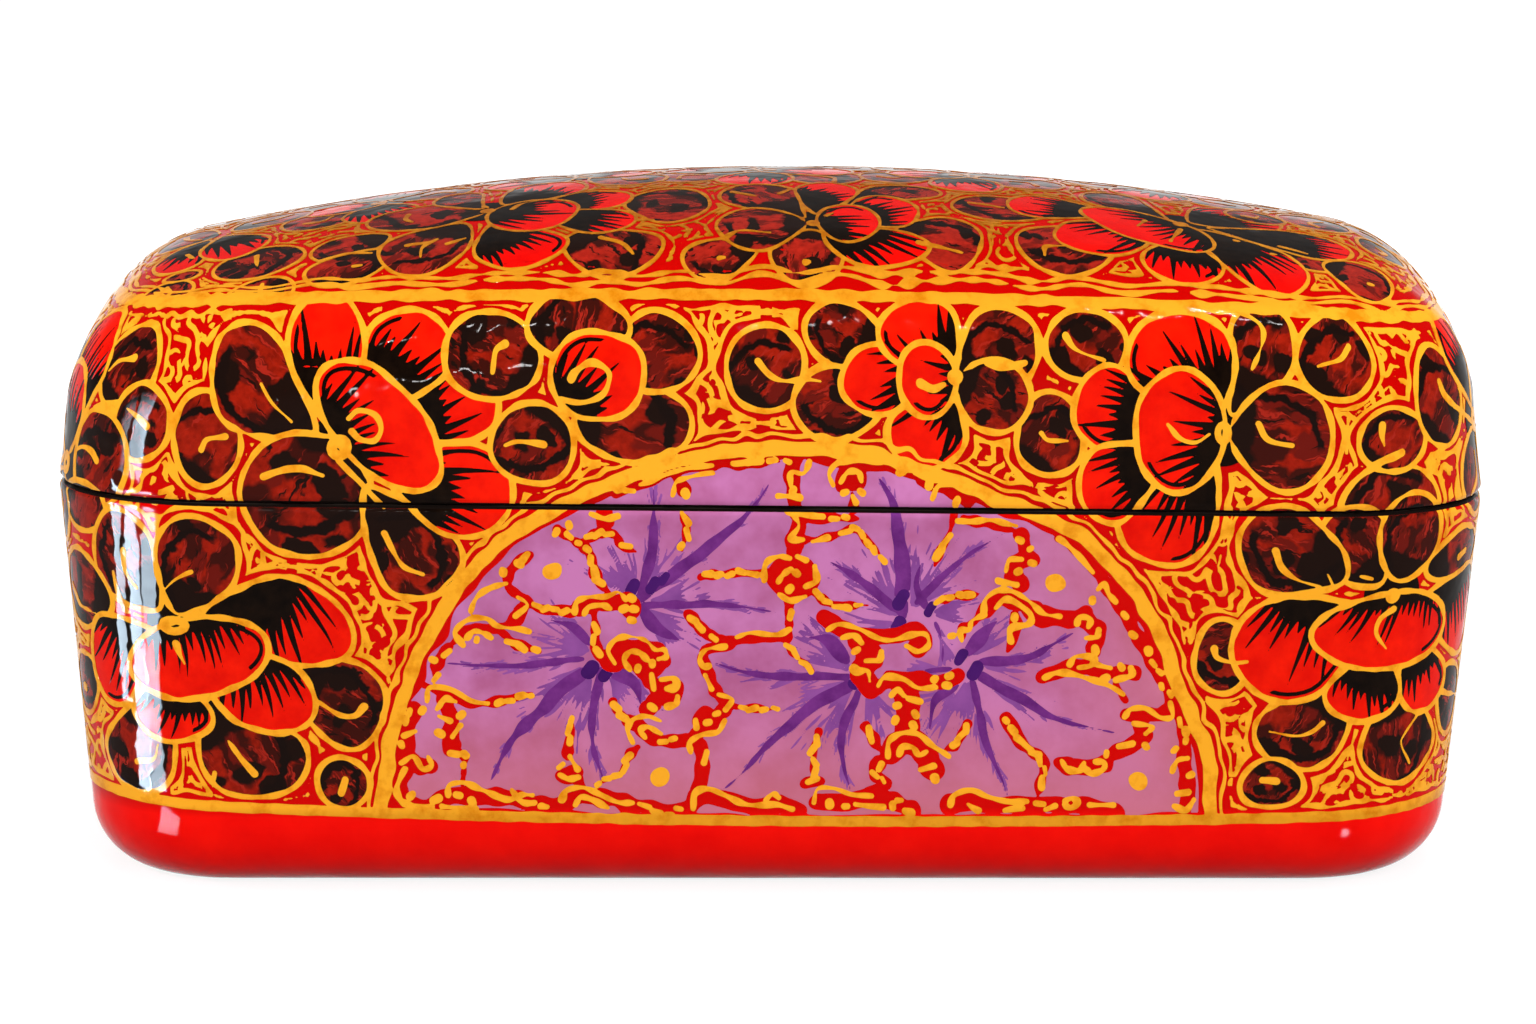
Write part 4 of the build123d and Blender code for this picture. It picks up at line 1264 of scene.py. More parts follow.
# %% Violet bursts
# for each burst: long strokes as half width and path, fans as middle, first and last angle and reach, and
# dark dabs as middle and size
BURSTS = [
    ([(0.6, [(-13.4, -9.4), (-12.4, -5), (-12, -0.5), (-12.1, 1.8)]),
     (0.72, [(-13.8, -10), (-10, -7), (-5, -3), (-2.4, -0.6), (0.8, 4.2)]),
     (0.42, [(-13.5, -10.6), (-8, -10.1), (-4, -10.3), (1.4, -11.2)]),
     (0.75, [(-13.4, -11), (-11.6, -13), (-9, -14.3)])],
     [(-13.8, -10, 92, 160, 6), (-13, -9.6, 30, 75, 6.5), (-12.5, -10.2, 5, 32, 6),
      (-13.2, -11, -48, -5, 5.5)],
     [(-14.2, -8.6, 0.8), (-12, -8.4, 0.75), (-10.9, -7.6, 0.55)]),
    ([(0.42, [(-19.5, -16.3), (-24, -16.7), (-29, -17.2), (-34, -16.8)]),
     (0.78, [(-18.5, -17.2), (-23, -20.5), (-27, -25.3), (-29.8, -30.3)]),
     (0.5, [(-17.6, -17.2), (-18.4, -21), (-18.4, -26), (-17.3, -30.8)]),
     (0.85, [(-16.8, -17.5), (-14.4, -18.8), (-13.4, -21.4)]),
     (0.6, [(-18.8, -14.6), (-20.6, -12.8), (-23, -12)])],
     [(-18.6, -15.6, 128, 190, 6), (-18.6, -17, 200, 262, 7.5), (-17, -17.6, 284, 330, 5)],
     [(-18.7, -17.4, 0.85), (-17.2, -17.8, 0.7)]),
    ([(0.85, [(13.8, -11.2), (13.7, -6), (12.8, 0), (10.9, 4)]),
     (0.5, [(13.2, -10.4), (9.5, -7.6), (5, -5)]), (0.46, [(15.2, -9.8), (19, -6), (24.3, -2.2)]),
     (0.4, [(16.5, -11), (15.2, -8), (15.8, -4.4)]), (0.16, [(17, -12), (17.9, -14.2), (18, -16.4)])],
     [(13.6, -11, 100, 172, 6), (14.6, -10.4, 25, 88, 6.5), (16.6, -11, -20, 30, 4.5),
      (13.2, -12, 172, 200, 5)],
     [(13.8, -9.4, 0.85), (13.3, -12.2, 0.85), (16.6, -10.6, 0.6)]),
    ([(0.5, [(8.4, -17.8), (3, -18), (-2, -17.5), (-6, -16.4)]),
     (0.72, [(9, -18.3), (4, -21.5), (0, -25.5), (-5, -30.4)]),
     (0.48, [(9.2, -19), (7.7, -23), (7.5, -27), (8.3, -30.6)]),
     (0.8, [(8, -16.2), (6, -13.9), (3.6, -13.6)])],
     [(8.4, -17.2, 112, 172, 6), (8.6, -18.4, 190, 250, 7), (10, -18.8, 268, 318, 5)],
     [(9, -18.2, 0.7), (10.3, -19, 0.5)]),
    ([(0.6, [(21, -17.2), (26, -20), (30, -22.3), (37, -24)]),
     (0.55, [(21.6, -16.4), (27, -15.4), (32, -12.8)]),
     (0.48, [(21, -18), (22, -22.5), (23.5, -27), (25, -30.8)]),
     (0.8, [(20.6, -15.4), (22.4, -13), (24, -11.4)]), (0.6, [(19.4, -18.6), (17, -20.4), (16.6, -24)]),
     (0.35, [(19, -16.8), (16.8, -17), (15, -17.8)])],
     [(21, -15.8, 30, 80, 5), (21.6, -16.6, -12, 26, 7), (21.4, -17.4, -42, -14, 7),
      (20.6, -18.2, 230, 292, 6.5), (19.4, -18.4, 225, 250, 4)],
     [(20, -15.8, 0.65), (21.4, -17.2, 0.8)]),
]
panel_lilac = np.minimum(wall.paint["lilac"], arch_inside - 1.3)
hair_count = 0
for strokes, fans, dabs in BURSTS:
    for half, path in strokes:
        fine = smooth_path(path, 8)
        t = np.linspace(0, 1, len(fine))
        wall.stroke("violet", fine, half * (0.5 + 0.5 * np.sin(np.pi * t**0.6)) * (1 - t**2.5), panel_lilac)
        for k in range(2, len(fine) - 4):
            dx, dy = fine[k + 1] - fine[k - 1]
            x, y = fine[k]
            for side in (-1, 1):
                turn = math.atan2(dy, dx) + side * panel_lots.uniform(0.1, 0.36)
                reach = panel_lots.uniform(2.0, 4.8) * (1.2 - t[k])
                path = [(x + r * math.cos(turn), y + r * math.sin(turn)) for r in (0, 0.5 * reach, reach)]
                wall.stroke("hairs", path, [0.17, 0.12, 0.02], panel_lilac)
                hair_count += 1
    for x, y, low, high, far in fans:
        for angle in np.arange(low, high, 3.2):
            turn = math.radians(angle + panel_lots.uniform(-1.6, 1.6))
            reach = far * panel_lots.uniform(0.6, 1.45)
            start, bend = panel_lots.uniform(0.3, 1.2), turn + panel_lots.uniform(-0.14, 0.14)
            steps = ((start, turn), (0.5 * reach, turn), (reach, bend))
            path = [(x + r * math.cos(a), y + r * math.sin(a)) for r, a in steps]
            wall.stroke("hairs", path, [0.2, 0.13, 0.02], panel_lilac)
            hair_count += 1
    for x, y, radius in dabs:
        wall.stroke("dabs", [(x - 0.3, y - 0.4), (x + 0.2, y + 0.4)], radius * 0.8, panel_lilac)
np.minimum(wall.paint["violet"], -wall.paint["dabs"], out=wall.paint["violet"])
darker = np.maximum(wall.paint["violet"], wall.paint["dabs"])
np.minimum(wall.paint["hairs"], -darker, out=wall.paint["hairs"])
print("violet strokes:", sum(len(b[0]) for b in BURSTS), "hairs:", hair_count)

# %% [markdown]
# ## From sheets to films
# The zero line of each field is traced cell by cell, and the area inside it is filled with triangles. The
# film is then wrapped on the shell: every corner is looked up in the survey and lifted a few hundredths of
# a millimetre, and a narrow skirt ties the edge of the film down into the shell. The films are real, thin
# layers of paint.

# %% Trace and fill one field
# for each way in which a cell's corners can be painted: the cell's edges between which the line runs
EDGE_ENDS = {1: "LB", 2: "BR", 3: "LR", 4: "RT", 6: "BT", 7: "LT", 8: "TL", 9: "TB", 11: "TR", 12: "RL",
             13: "RB", 14: "BL", 5: "LBRT", 10: "BRTL"}


def zero_line(field, u, v):
    """Points and segments of the line round the area where the field is above nought."""
    framed = np.full((len(v) + 2, len(u) + 2), -1.0)
    framed[1:-1, 1:-1] = field
    u, v = np.pad(u, 1, mode="edge"), np.pad(v, 1, mode="edge")
    rows, columns = framed.shape
    level = framed > 0
    code = level[:-1, :-1] * 1 + level[:-1, 1:] * 2 + level[1:, 1:] * 4 + level[1:, :-1] * 8
    i, j = np.nonzero((code > 0) & (code < 15))
    code = code[i, j]
    across = rows * (columns - 1)
    edges = {"B": i * (columns - 1) + j, "T": (i + 1) * (columns - 1) + j, "L": across + i * columns + j,
             "R": across + i * columns + j + 1}
    segments = []
    for case, ends in EDGE_ENDS.items():
        here = code == case
        for k in range(0, len(ends), 2):
            segments.append(np.stack([edges[ends[k]][here], edges[ends[k + 1]][here]], 1))
    used, segments = np.unique(np.concatenate(segments), return_inverse=True)
    segments = segments.reshape(-1, 2)
    points = np.zeros((len(used), 2))
    flat = used < across
    i, j = used[flat] // (columns - 1), used[flat] % (columns - 1)
    t = np.clip(framed[i, j] / (framed[i, j] - framed[i, j + 1]), 0.05, 0.95)
    points[flat] = np.stack([u[j] + t * (u[j + 1] - u[j]), v[i]], 1)
    i, j = (used[~flat] - across) // columns, (used[~flat] - across) % columns
    t = np.clip(framed[i, j] / (framed[i, j] - framed[i + 1, j]), 0.05, 0.95)
    points[~flat] = np.stack([u[j], v[i] + t * (v[i + 1] - v[i])], 1)
    return points, segments


def fill(field, u, v, spacing=1.0):
    """Flat points and triangles that fill the area where the field is above nought."""
    points, segments = zero_line(field, u, v)
    if len(segments) == 0:
        return np.zeros((0, 2)), np.zeros((0, 3), int)
    inner_u, inner_v = np.meshgrid(np.arange(u[0], u[-1], spacing), np.arange(v[0], v[-1], spacing))
    inner_u[1::2] += spacing / 2
    inner = np.stack([inner_u.ravel(), inner_v.ravel()], 1)
    inner = inner[read_field(field, u, v, inner) > 0.4 * spacing] if len(inner) else inner
    every = [Vector(p) for p in np.vstack([points, inner]).tolist()]
    places, _, corners, *_ = geometry.delaunay_2d_cdt(every, segments.tolist(), [], 0, 1e-7, False)
    flat = np.array([tuple(p) for p in places])
    corners = np.array(corners)
    middle = flat[corners].mean(1)
    corners = corners[read_field(field, u, v, middle) > 0]
    a, b, c = (flat[corners[:, k]] for k in range(3))
    area = (b - a)[:, 0] * (c - a)[:, 1] - (b - a)[:, 1] * (c - a)[:, 0]
    corners = np.where(area[:, None] < 0, corners[:, ::-1], corners)
    return flat, corners[np.abs(area) > 1e-6]


# %% Cut a film along a straight line
def cut(flat, corners, axis, level):
    """Splits the triangles that cross a line, so that the film can bend or end there."""
    side = flat[:, axis] > level
    count = side[corners].sum(1)
    mixed = (count == 1) | (count == 2)
    if not mixed.any():
        return flat, corners
    keep, cross = corners[~mixed], corners[mixed]
    lone_side = (count[mixed] == 1)[:, None]
    lone = np.argmax(side[cross] == lone_side, 1)
    rows = np.arange(len(cross))
    a, b, c = cross[rows, lone], cross[rows, (lone + 1) % 3], cross[rows, (lone + 2) % 3]
    pairs = np.sort(np.vstack([np.stack([a, b], 1), np.stack([a, c], 1)]), 1)
    unique, index = np.unique(pairs, axis=0, return_inverse=True)
    index = index.reshape(-1)
    low, high = flat[unique[:, 0]], flat[unique[:, 1]]
    t = (level - low[:, axis]) / (high[:, axis] - low[:, axis])
    new = low + t[:, None] * (high - low)
    p, q = index[: len(a)] + len(flat), index[len(a):] + len(flat)
    corners = np.vstack([keep, np.stack([a, p, q], 1), np.stack([p, b, c], 1), np.stack([p, c, q], 1)])
    return np.vstack([flat, new]), corners


# %% Wrap a film on its shell
# The films stop at the first cut, so that the shell's black band along the seam shows; that band is partly
# painted shade of the groove.
lip_cuts = (0.36, 0.44, 0.54, 0.66, 0.84, 1.1)
bake_rows = 3
row_length = half_girth / bake_rows
bake_heights = {"lid": (0, 23), "base": (-35, 0)}
LIFTS = {"petals": 0.04, "lilac": 0.04, "hairs": 0.055, "violet": 0.065, "dabs": 0.065, "black": 0.065,
         "gold": 0.095}
skirt_depth = 0.03


def open_edges(corners):
    """The edges that belong to one triangle only, in the direction of that triangle."""
    edges = np.vstack([corners[:, (0, 1)], corners[:, (1, 2)], corners[:, (2, 0)]])
    _, index, count = np.unique(np.sort(edges, 1), axis=0, return_index=True, return_counts=True)
    return edges[index[count == 1]]


def wall_layout(flat, faces, body):
    """Where each face corner of a wall film lies in its flat layout for baking. The film is cut into rows."""
    low, high = bake_heights[body]
    along = flat[:, 0] + half_girth / 2
    row = np.clip((along[faces].mean(1) / row_length).astype(int), 0, bake_rows - 1)
    row = np.repeat(row, 3)
    across = (along[faces.ravel()] - row * row_length) / row_length
    up = (row + 0.02 + 0.96 * (flat[faces.ravel(), 1] - low) / (high - low)) / bake_rows
    return np.stack([across, up], 1)


def crown_layout(flat, faces):
    """The same for a film of the crown, which fits in one piece."""
    half = np.array((crown_long, crown_deep))
    return ((flat + half) / (2 * half))[faces.ravel()]


def film(name, flat, corners, survey, lift, body, material, shift=0.0, extra=None):
    """One film of paint on a shell, with its skirt, its smooth normals and its flat layout for baking."""
    used, corners = np.unique(corners, return_inverse=True)
    flat, corners = flat[used], corners.reshape(-1, 3)
    extra = extra[used] if extra is not None else None
    on_crown = survey is surveys["crown"]
    chart = flat + (shift, 0)
    if not on_crown:
        chart[:, 0] = (chart[:, 0] + half_girth) % girth - half_girth
    places, normals = survey.look_up(chart[:, 0], chart[:, 1])
    edges = open_edges(corners)
    rim, edges = np.unique(edges, return_inverse=True)
    edges = edges.reshape(-1, 2)
    a, b = edges[:, 0], edges[:, 1]
    lower = len(flat)
    skirt = np.vstack([np.stack([rim[b], rim[a], a + lower], 1),
                       np.stack([rim[b], a + lower, b + lower], 1)])
    top = places + normals * lift * MM
    points = np.vstack([top, places[rim] - normals[rim] * skirt_depth * MM])
    faces = np.vstack([corners, skirt])
    mesh = bpy.data.meshes.new(name)
    mesh.vertices.add(len(points))
    mesh.vertices.foreach_set("co", points.astype(np.float32).ravel())
    mesh.loops.add(faces.size)
    mesh.loops.foreach_set("vertex_index", faces.astype(np.int32).ravel())
    mesh.polygons.add(len(faces))
    mesh.polygons.foreach_set("loop_start", np.arange(0, faces.size, 3, dtype=np.int32))
    mesh.update(calc_edges=True)
    mesh.polygons.foreach_set("use_smooth", np.ones(len(faces), bool))
    all_normals = np.vstack([normals, normals[rim]])
    mesh.normals_split_custom_set_from_vertices(all_normals.tolist())
    source = np.concatenate([np.arange(len(flat)), rim])
    layout = crown_layout(flat[source], faces) if on_crown else wall_layout(flat[source], faces, body)
    layer = mesh.uv_layers.new(name="OFBake")
    layer.data.foreach_set("uv", np.clip(layout, 0, 1).astype(np.float32).ravel())
    if extra is not None:
        brush = mesh.attributes.new("brush", "FLOAT_VECTOR", "POINT")
        brush.data.foreach_set("vector", extra[source].astype(np.float32).ravel())
    piece = bpy.data.objects.new(name, mesh)
    bpy.context.scene.collection.objects.link(piece)
    mesh.materials.append(material)
    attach(piece, body)
    return piece


def wall_halves(flat, corners):
    """Cuts a wall film at the lips and into bake rows, and gives the lid's part and the base's part."""
    for k in range(1, bake_rows):
        flat, corners = cut(flat, corners, 0, k * row_length - half_girth / 2)
    for level in lip_cuts:
        for sign in (-1, 1):
            flat, corners = cut(flat, corners, 1, sign * level)
    height = flat[corners, 1].mean(1)
    return flat, {"lid": corners[height > lip_cuts[0]], "base": corners[height < -lip_cuts[0]]}


# %% Fill the petals
petal_apart = 3.7


def petal_films(sheet, kind):
    """All the petals of one kind as one flat film, with the place of every corner in its own petal."""
    flats, corners, brush, total = [], [], [], 0
    for count, petal in enumerate(sheet.petals):
        if petal.kind != kind:
            continue
        for window, shift, field in petal.windows:
            u, v = sheet.u[window[1]], sheet.v[window[0]]
            points, triangles = fill(field[::2, ::2], u[::2], v[::2])
            if len(triangles) == 0:
                continue
            along, across = petal.lie(points[:, 0] - shift, points[:, 1])
            flats.append(points)
            corners.append(triangles + total)
            brush.append(np.stack([along, across, np.full(len(points), count * petal_apart)], 1))
            total += len(points)
    return np.vstack(flats), np.vstack(corners), np.vstack(brush)


def cut_with_brush(flat, corners, brush):
    """Cuts a film that carries brush places: they ride along as extra columns while it is cut."""
    joined, parts = wall_halves(np.hstack([flat, brush]), corners)
    return joined[:, :2], parts, joined[:, 2:]

# %% [markdown]
# ## The paints
# All the paints lie under the same clear lacquer, so they share a glossy coat over a duller ground. Under
# the coat each paint has its own look: the gold is streaky, the dark petals show overlapping brush patches,
# and the red shows soft traces of the brush. Small bumps in the paint and slow waves in the lacquer break
# up the reflections. The lacquer mirrors less than glass does, so that the black under it stays deep. The
# top of the lid is polished harder and mirrors a little more. There the paints carry painted shade and light:
# the gold and the red petals are painted darker and the dark petals lighter and redder.

# %% One recipe for every lacquered paint
wall_coat = 1.1
crown_coat = 1.16


def noise(tree, place, **values):
    """A noise texture that is read at a given place."""
    made = node(tree, "ShaderNodeTexNoise", **values)
    tree.links.new(place, made.inputs["Vector"])
    return made


def bumps(tree, height, strength, distance):
    """The tilt of a surface with small bumps of a given height."""
    made = node(tree, "ShaderNodeBump", Strength=strength, Distance=distance)
    tree.links.new(height, made.inputs["Height"])
    return made.outputs["Normal"]


def lacquered(name, dark, light, patch=900.0, rough=(0.35, 0.5), grain=0.05, coat=1.0, band=(0.3, 0.7),
              coat_index=wall_coat):
    """A paint with two tones in soft patches, its grain and roughness, under a clear glossy coat."""
    material, tree, shader = new_material(name)
    place = node(tree, "ShaderNodeTexCoord").outputs["Object"]
    patches = noise(tree, place, Scale=patch, Detail=4.0, Roughness=0.6)
    tones = node(tree, "ShaderNodeValToRGB")
    tones.color_ramp.elements[0].color = (*dark, 1)
    tones.color_ramp.elements[1].color = (*light, 1)
    tones.color_ramp.elements[0].position, tones.color_ramp.elements[1].position = band
    tree.links.new(patches.outputs["Fac"], tones.inputs["Fac"])
    tree.links.new(tones.outputs["Color"], shader.inputs["Base Color"])
    dull = node(tree, "ShaderNodeMapRange", **{"To Min": rough[0], "To Max": rough[1]})
    tree.links.new(patches.outputs["Fac"], dull.inputs["Value"])
    tree.links.new(dull.outputs["Result"], shader.inputs["Roughness"])
    fine = noise(tree, place, Scale=2600.0, Detail=2.0)
    tree.links.new(bumps(tree, fine.outputs["Fac"], grain, 0.2 * MM), shader.inputs["Normal"])
    waves = noise(tree, place, Scale=120.0, Detail=3.0, Roughness=0.5)
    tree.links.new(bumps(tree, waves.outputs["Fac"], 0.5, 0.6 * MM), shader.inputs["Coat Normal"])
    shader.inputs["Coat Weight"].default_value = coat
    shader.inputs["Coat Roughness"].default_value = 0.035
    shader.inputs["Coat IOR"].default_value = coat_index
    shader.inputs["Specular IOR Level"].default_value = 0.0
    return material, tree, shader


def laid_over(tree, below, tone, share):
    """One even colour over another. The share is an output from nought to one."""
    mixed = node(tree, "ShaderNodeMix", data_type="RGBA")
    tree.links.new(share, mixed.inputs[0])
    tree.links.new(below, mixed.inputs[6])
    mixed.inputs[7].default_value = (*tone, 1)
    return mixed.outputs[2]


def scarlet_finish(name, coat_index, low=(0.67, 0.003, 0.0006), high=(0.88, 0.010, 0.001)):
    """Bright red, with soft traces of the brush."""
    return lacquered(name, low, high, patch=330, coat_index=coat_index)[0]


def black_finish(name, coat_index):
    """Warm black."""
    return lacquered(name, (0.003, 0.0015, 0.001), (0.009, 0.004, 0.002), patch=700,
                     coat_index=coat_index)[0]


violet_paint = lacquered("violet paint", (0.105, 0.013, 0.14), (0.19, 0.032, 0.23), patch=420)[0]
dab_paint = lacquered("deep violet paint", (0.045, 0.006, 0.10), (0.07, 0.01, 0.14), patch=260)[0]
hair_paint = lacquered("thin violet paint", (0.20, 0.05, 0.24), (0.29, 0.08, 0.32), patch=260)[0]


# %% Gold with painted shade on top of the lid
def object_place(tree):
    """A place on the object, whole and split into X, Y and Z, and the direction in which its surface
    faces."""
    place = node(tree, "ShaderNodeTexCoord")
    parts = node(tree, "ShaderNodeSeparateXYZ")
    tree.links.new(place.outputs["Object"], parts.inputs["Vector"])
    return place.outputs["Object"], parts.outputs, place.outputs["Normal"]


def gold_finish(name, coat_index):
    """Bright streaky gold on the walls. On top of the lid its gold is painted brown, which is painted shade,
    and it is also darker along the lower edge of the foot's band."""
    material, tree, shader = lacquered(name, (0.72, 0.225, 0.004), (0.91, 0.385, 0.018), patch=420,
                                       rough=(0.3, 0.45), grain=0.12, band=(0.3, 0.5), coat_index=coat_index)
    place, parts, _ = object_place(tree)
    blotches = noise(tree, place, Scale=900.0, Detail=2.0)
    # Painted shade: the gold turns brown towards the top of the lid.
    top_painted_shade = ramp(tree, parts["Z"], 60.5 * MM, 69 * MM, 0, 0.9)
    at_foot = ramp(tree, parts["Z"], 9.4 * MM, 8.4 * MM, 0, 0.32)
    top_shade_and_darker_foot = join(tree, "MAXIMUM", top_painted_shade, at_foot)
    gold_darkening = join(tree, "MULTIPLY", top_shade_and_darker_foot, ramp(tree, blotches.outputs["Fac"], 0.35, 0.6, 0.75, 1.0))
    bright = shader.inputs["Base Color"].links[0].from_socket
    tree.links.new(laid_over(tree, bright, (0.30, 0.075, 0.001), gold_darkening), shader.inputs["Base Color"])
    return material


# %% Lilac that turns pink towards the foot
def lilac_finish():
    """Lilac in soft patches, pinker towards the foot of the box and towards the right end of the panel."""
    material, tree, shader = lacquered("lilac paint", (0.41, 0.105, 0.25), (0.55, 0.18, 0.42), patch=120,
                                       band=(0.35, 0.62))
    _, parts, _ = object_place(tree)
    pink = join(tree, "MAXIMUM", ramp(tree, parts["Z"], 24 * MM, 7 * MM, 0, 0.85),
                ramp(tree, parts["X"], 22 * MM, 44 * MM, 0, 0.7))
    lilac_tone = shader.inputs["Base Color"].links[0].from_socket
    tree.links.new(laid_over(tree, lilac_tone, (0.57, 0.145, 0.17), pink), shader.inputs["Base Color"])
    return material


lilac_paint = lilac_finish()


# %% Dark petals
def dark_petal_finish(name, coat_index, low=(0.175, 0.006, 0.002), high=(0.355, 0.013, 0.004), cover=0.92):
    """A maroon petal with dabs of brown and black over it, a black foot and a black stroke along one edge."""
    material, tree, shader = lacquered(name, low, high, coat_index=coat_index)
    colour = shader.inputs["Base Color"].links[0].from_socket
    place = node(tree, "ShaderNodeAttribute", attribute_name="brush")
    unsteady = noise(tree, place.outputs["Vector"], Scale=1.9, Detail=3.0, Roughness=0.6)
    pushed = node(tree, "ShaderNodeVectorMath", operation="MULTIPLY_ADD")
    pushed.inputs[1].default_value = (0.5, 0.5, 0.0)
    tree.links.new(unsteady.outputs["Color"], pushed.inputs[0])
    tree.links.new(place.outputs["Vector"], pushed.inputs[2])
    parts = node(tree, "ShaderNodeSeparateXYZ")
    tree.links.new(pushed.outputs["Vector"], parts.inputs["Vector"])
    along, across = parts.outputs["X"], parts.outputs["Y"]
    squares = join(tree, "MULTIPLY", along, along), join(tree, "MULTIPLY", across, across)
    radius = join(tree, "SQRT", join(tree, "ADD", *squares))

    def dabs(scale, stretch, size):
        """How far inside the nearest brush dab each point is."""
        spread = node(tree, "ShaderNodeMapping", Scale=stretch)
        tree.links.new(pushed.outputs["Vector"], spread.inputs["Vector"])
        cells = node(tree, "ShaderNodeTexVoronoi", Scale=scale, Randomness=1.0)
        tree.links.new(spread.outputs["Vector"], cells.inputs["Vector"])
        return join(tree, "SUBTRACT", size * cover, cells.outputs["Distance"])

    def hairs(stretch, level):
        """Thin marks that the hairs of a drying brush leave along the petal."""
        spread = node(tree, "ShaderNodeMapping", Scale=stretch)
        tree.links.new(pushed.outputs["Vector"], spread.inputs["Vector"])
        marks = noise(tree, spread.outputs["Vector"], Scale=1.0, Detail=3.0, Roughness=0.6)
        return join(tree, "SUBTRACT", marks.outputs["Fac"], level)

    foot = join(tree, "MULTIPLY", join(tree, "SUBTRACT", -0.3, along), 0.6)
    edge_stroke = join(tree, "SUBTRACT", 0.085, join(tree, "ABSOLUTE", join(tree, "SUBTRACT", radius, 0.93)))
    one_side = join(tree, "MULTIPLY", across, 0.3)
    layers = ((dabs(1.0, (0.9, 1.8, 1.0), 0.58), (0.042, 0.005, 0.003), 0.05),
              (dabs(1.35, (0.9, 1.7, 1.3), 0.42), (0.13, 0.007, 0.004), 0.04),
              (hairs((1.6, 9.0, 1.6), 0.6), (0.33, 0.016, 0.008), 0.03),
              (join(tree, "MAXIMUM", dabs(1.1, (1.5, 1.0, 1.7), 0.38), foot), (0.0115, 0.0045, 0.003),
               0.025),
              (hairs((1.4, 7.0, 2.3), 0.63), (0.012, 0.0045, 0.003), 0.02),
              (join(tree, "MINIMUM", edge_stroke, one_side), (0.009, 0.004, 0.003), 0.02))
    for inside, tone, soft in layers:
        colour = laid_over(tree, colour, tone, ramp(tree, inside, -soft, soft))
    tree.links.new(colour, shader.inputs["Base Color"])
    return material


# %% One set for the walls, and one for the crown under a harder polish, some with painted light and shade
FINISHES = {"gold": gold_finish, "black": black_finish, "red petal": scarlet_finish,
            "dark petal": dark_petal_finish}
wall_paints = {name: make(f"{name} paint", wall_coat) for name, make in FINISHES.items()}
crown_paints = {name: FINISHES[name](f"polished {name} paint", crown_coat) for name in ("gold", "black")}
# On the crown the red petals are painted darker, as painted shade, and the dark petals lighter and redder, as
# painted light.
crown_paints["red petal"] = scarlet_finish("polished red petal paint with painted shade", crown_coat, (0.64, 0.001, 0.0004),
                                           (0.76, 0.004, 0.001))
crown_paints["dark petal"] = dark_petal_finish("polished dark petal paint with painted light", crown_coat, (0.20, 0.008, 0.004),
                                               (0.42, 0.017, 0.008), cover=0.82)
print("paints:", ", ".join(paint.name for paint in bpy.data.materials if paint.name.endswith("paint")))


# %% The shells' own finish
# Half the height of the black band along the seam: the black sawn lips, widened as painted shade of the groove.
seam_black_and_shade_height = 0.34
under_height = 0.25


def shell_finish(name, inner_middle, ground):
    """Red lacquer outside, bright on the foot and deeper as the ground of the painting above it. Black
    lacquer inside and under the foot, and a black band along the seam on both lips: partly the black of the
    sawn lips and partly painted shade of the seam's groove. What faces the middle of the room inside the
    shell is inside."""
    material, tree, shader = lacquered(name, (0.80, 0.001, 0.0004), (0.93, 0.004, 0.001), patch=140)
    red = shader.inputs["Base Color"].links[0].from_socket
    place, parts, normal = object_place(tree)
    red = laid_over(tree, red, ground, ramp(tree, parts["Z"], 8.2 * MM, 9.4 * MM, 0, 0.93))
    inward = node(tree, "ShaderNodeVectorMath", operation="SUBTRACT")
    inward.inputs[1].default_value = (0, 0, inner_middle * MM)
    tree.links.new(place, inward.inputs[0])
    facing = node(tree, "ShaderNodeVectorMath", operation="DOT_PRODUCT")
    tree.links.new(inward.outputs["Vector"], facing.inputs[0])
    tree.links.new(normal, facing.inputs[1])
    inside = join(tree, "LESS_THAN", facing.outputs["Value"], 0.0)
    tilted = join(tree, "MULTIPLY", parts["X"], seam_slope)
    above = join(tree, "SUBTRACT", join(tree, "ADD", parts["Z"], tilted), seam_height * MM)
    # The black band along the seam, partly painted shade of the groove.
    lip = join(tree, "LESS_THAN", join(tree, "ABSOLUTE", above), seam_black_and_shade_height * MM)
    under = join(tree, "LESS_THAN", parts["Z"], under_height * MM)
    dark = join(tree, "MAXIMUM", join(tree, "MAXIMUM", inside, lip), under)
    brushed = noise(tree, place, Scale=110.0, Detail=3.0, Distortion=0.3)
    thin = join(tree, "MULTIPLY", inside, ramp(tree, brushed.outputs["Fac"], 0.35, 0.72, 0.0, 1.0))
    black = laid_over(tree, red, (0.008, 0.005, 0.004), dark)
    tree.links.new(laid_over(tree, black, (0.034, 0.026, 0.021), thin), shader.inputs["Base Color"])
    return material


finishes = {"base_shell": shell_finish("red and black shell, base", 62, (0.585, 0.001, 0.0004)),
            "lid_shell": shell_finish("red and black shell, lid", 18, (0.47, 0.001, 0.0003)),
            "locating_collar": lacquered("black lacquered board", (0.006, 0.005, 0.004),
                                         (0.03, 0.022, 0.016),
                                         patch=300, rough=(0.3, 0.55), grain=0.2, coat=0.6)[0]}
for name, finish in finishes.items():
    mesh = frame["nodes"][name].data
    mesh.materials.clear()
    mesh.materials.append(finish)
    mesh.polygons.foreach_set("material_index", [0] * len(mesh.polygons))
print("finishes:", ", ".join(finishes))

# %% [markdown]
# ## Wrap everything
# The long side's sheet goes round the box twice, once for the front and once for the back, so that both long
# sides carry the same painting. The crown has a sheet of its own.

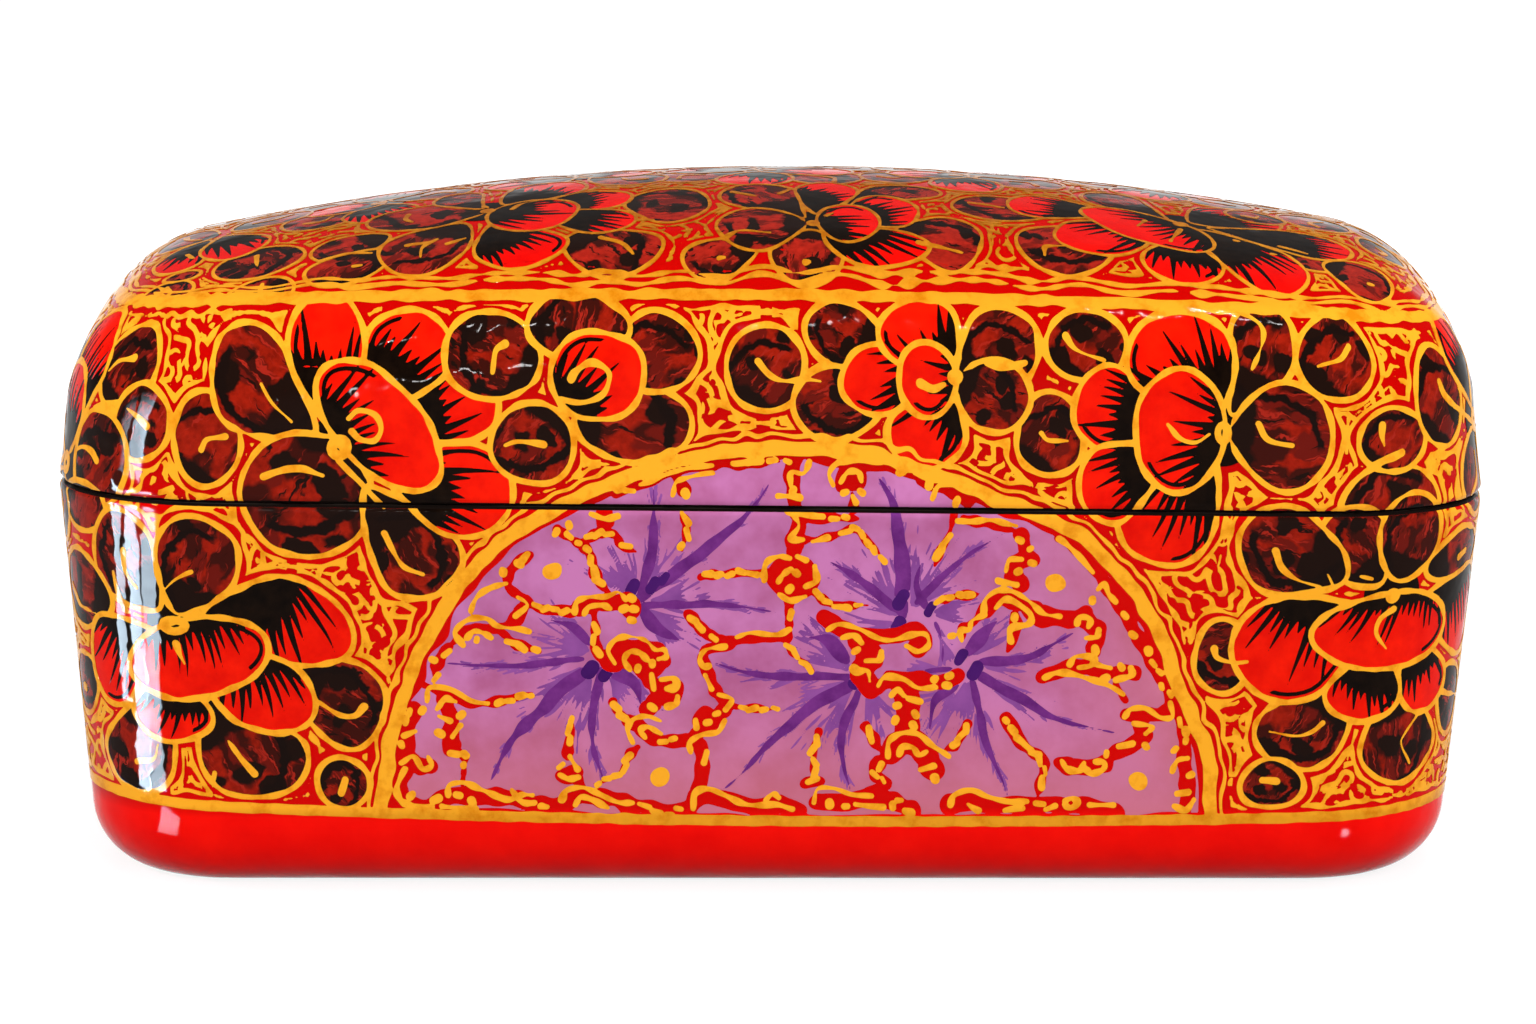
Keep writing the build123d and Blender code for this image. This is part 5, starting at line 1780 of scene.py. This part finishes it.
# %% Wrap the wall's paints
WALL_INKS = {"gold": wall_paints["gold"], "black": wall_paints["black"], "lilac": lilac_paint,
             "violet": violet_paint, "hairs": hair_paint, "dabs": dab_paint}
SIDES = {"front": 0.0, "back": half_girth}
made = []
for ink, paint in WALL_INKS.items():
    flat, parts = wall_halves(*fill(wall.paint[ink], wall.u, wall.v))
    for body, corners in parts.items():
        for side, shift in SIDES.items():
            if len(corners):
                made.append(film(f"{ink}_{side}_{body}", flat, corners, surveys[body], LIFTS[ink], body,
                                 paint, shift))
for kind in ("red", "dark"):
    flat, parts, brush = cut_with_brush(*petal_films(wall, kind))
    for body, corners in parts.items():
        for side, shift in SIDES.items():
            made.append(film(f"{kind}_petals_{side}_{body}", flat, corners, surveys[body], LIFTS["petals"],
                             body, wall_paints[f"{kind} petal"], shift, brush))
print(len(made), "films on the walls")

# %% Lay the crown's paints
def crown_film(name, flat, corners, lift, paint, extra=None):
    """A film on the top of the lid."""
    made.append(film(name, flat, corners, surveys["crown"], LIFTS[lift], "lid", crown_paints[paint],
                     extra=extra))


# The gold is so fine that it is kept as two pieces, one for the front half of the crown and one for the back.
half_way = 0.04
flat, corners = cut(*fill(crown.paint["gold"], crown.u, crown.v), 1, half_way)
behind = flat[corners, 1].mean(1) > half_way
crown_film("gold_crown_front", flat, corners[~behind], "gold", "gold")
crown_film("gold_crown_back", flat, corners[behind], "gold", "gold")
crown_film("black_crown", *fill(crown.paint["black"], crown.u, crown.v), "black", "black")
for kind in ("red", "dark"):
    flat, corners, brush = petal_films(crown, kind)
    crown_film(f"{kind}_petals_crown", flat, corners, "petals", f"{kind} petal", brush)
triangles = [len(piece.data.polygons) for piece in made]
print(f"{len(made)} films of paint, {sum(triangles)} triangles, {max(triangles)} in the largest")

# %% [markdown]
# ## Finish
# Painting must not change the size of the box, so the largest gap between the bounds of the painted box and
# those of the bare one is printed.

# %% Compare the sizes and finish
painted_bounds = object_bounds()
growth = max(abs(a - b) for one, two in zip(cad_bounds, painted_bounds) for a, b in zip(one, two))
print(f"paint adds {growth / MM:.2f} mm at most")
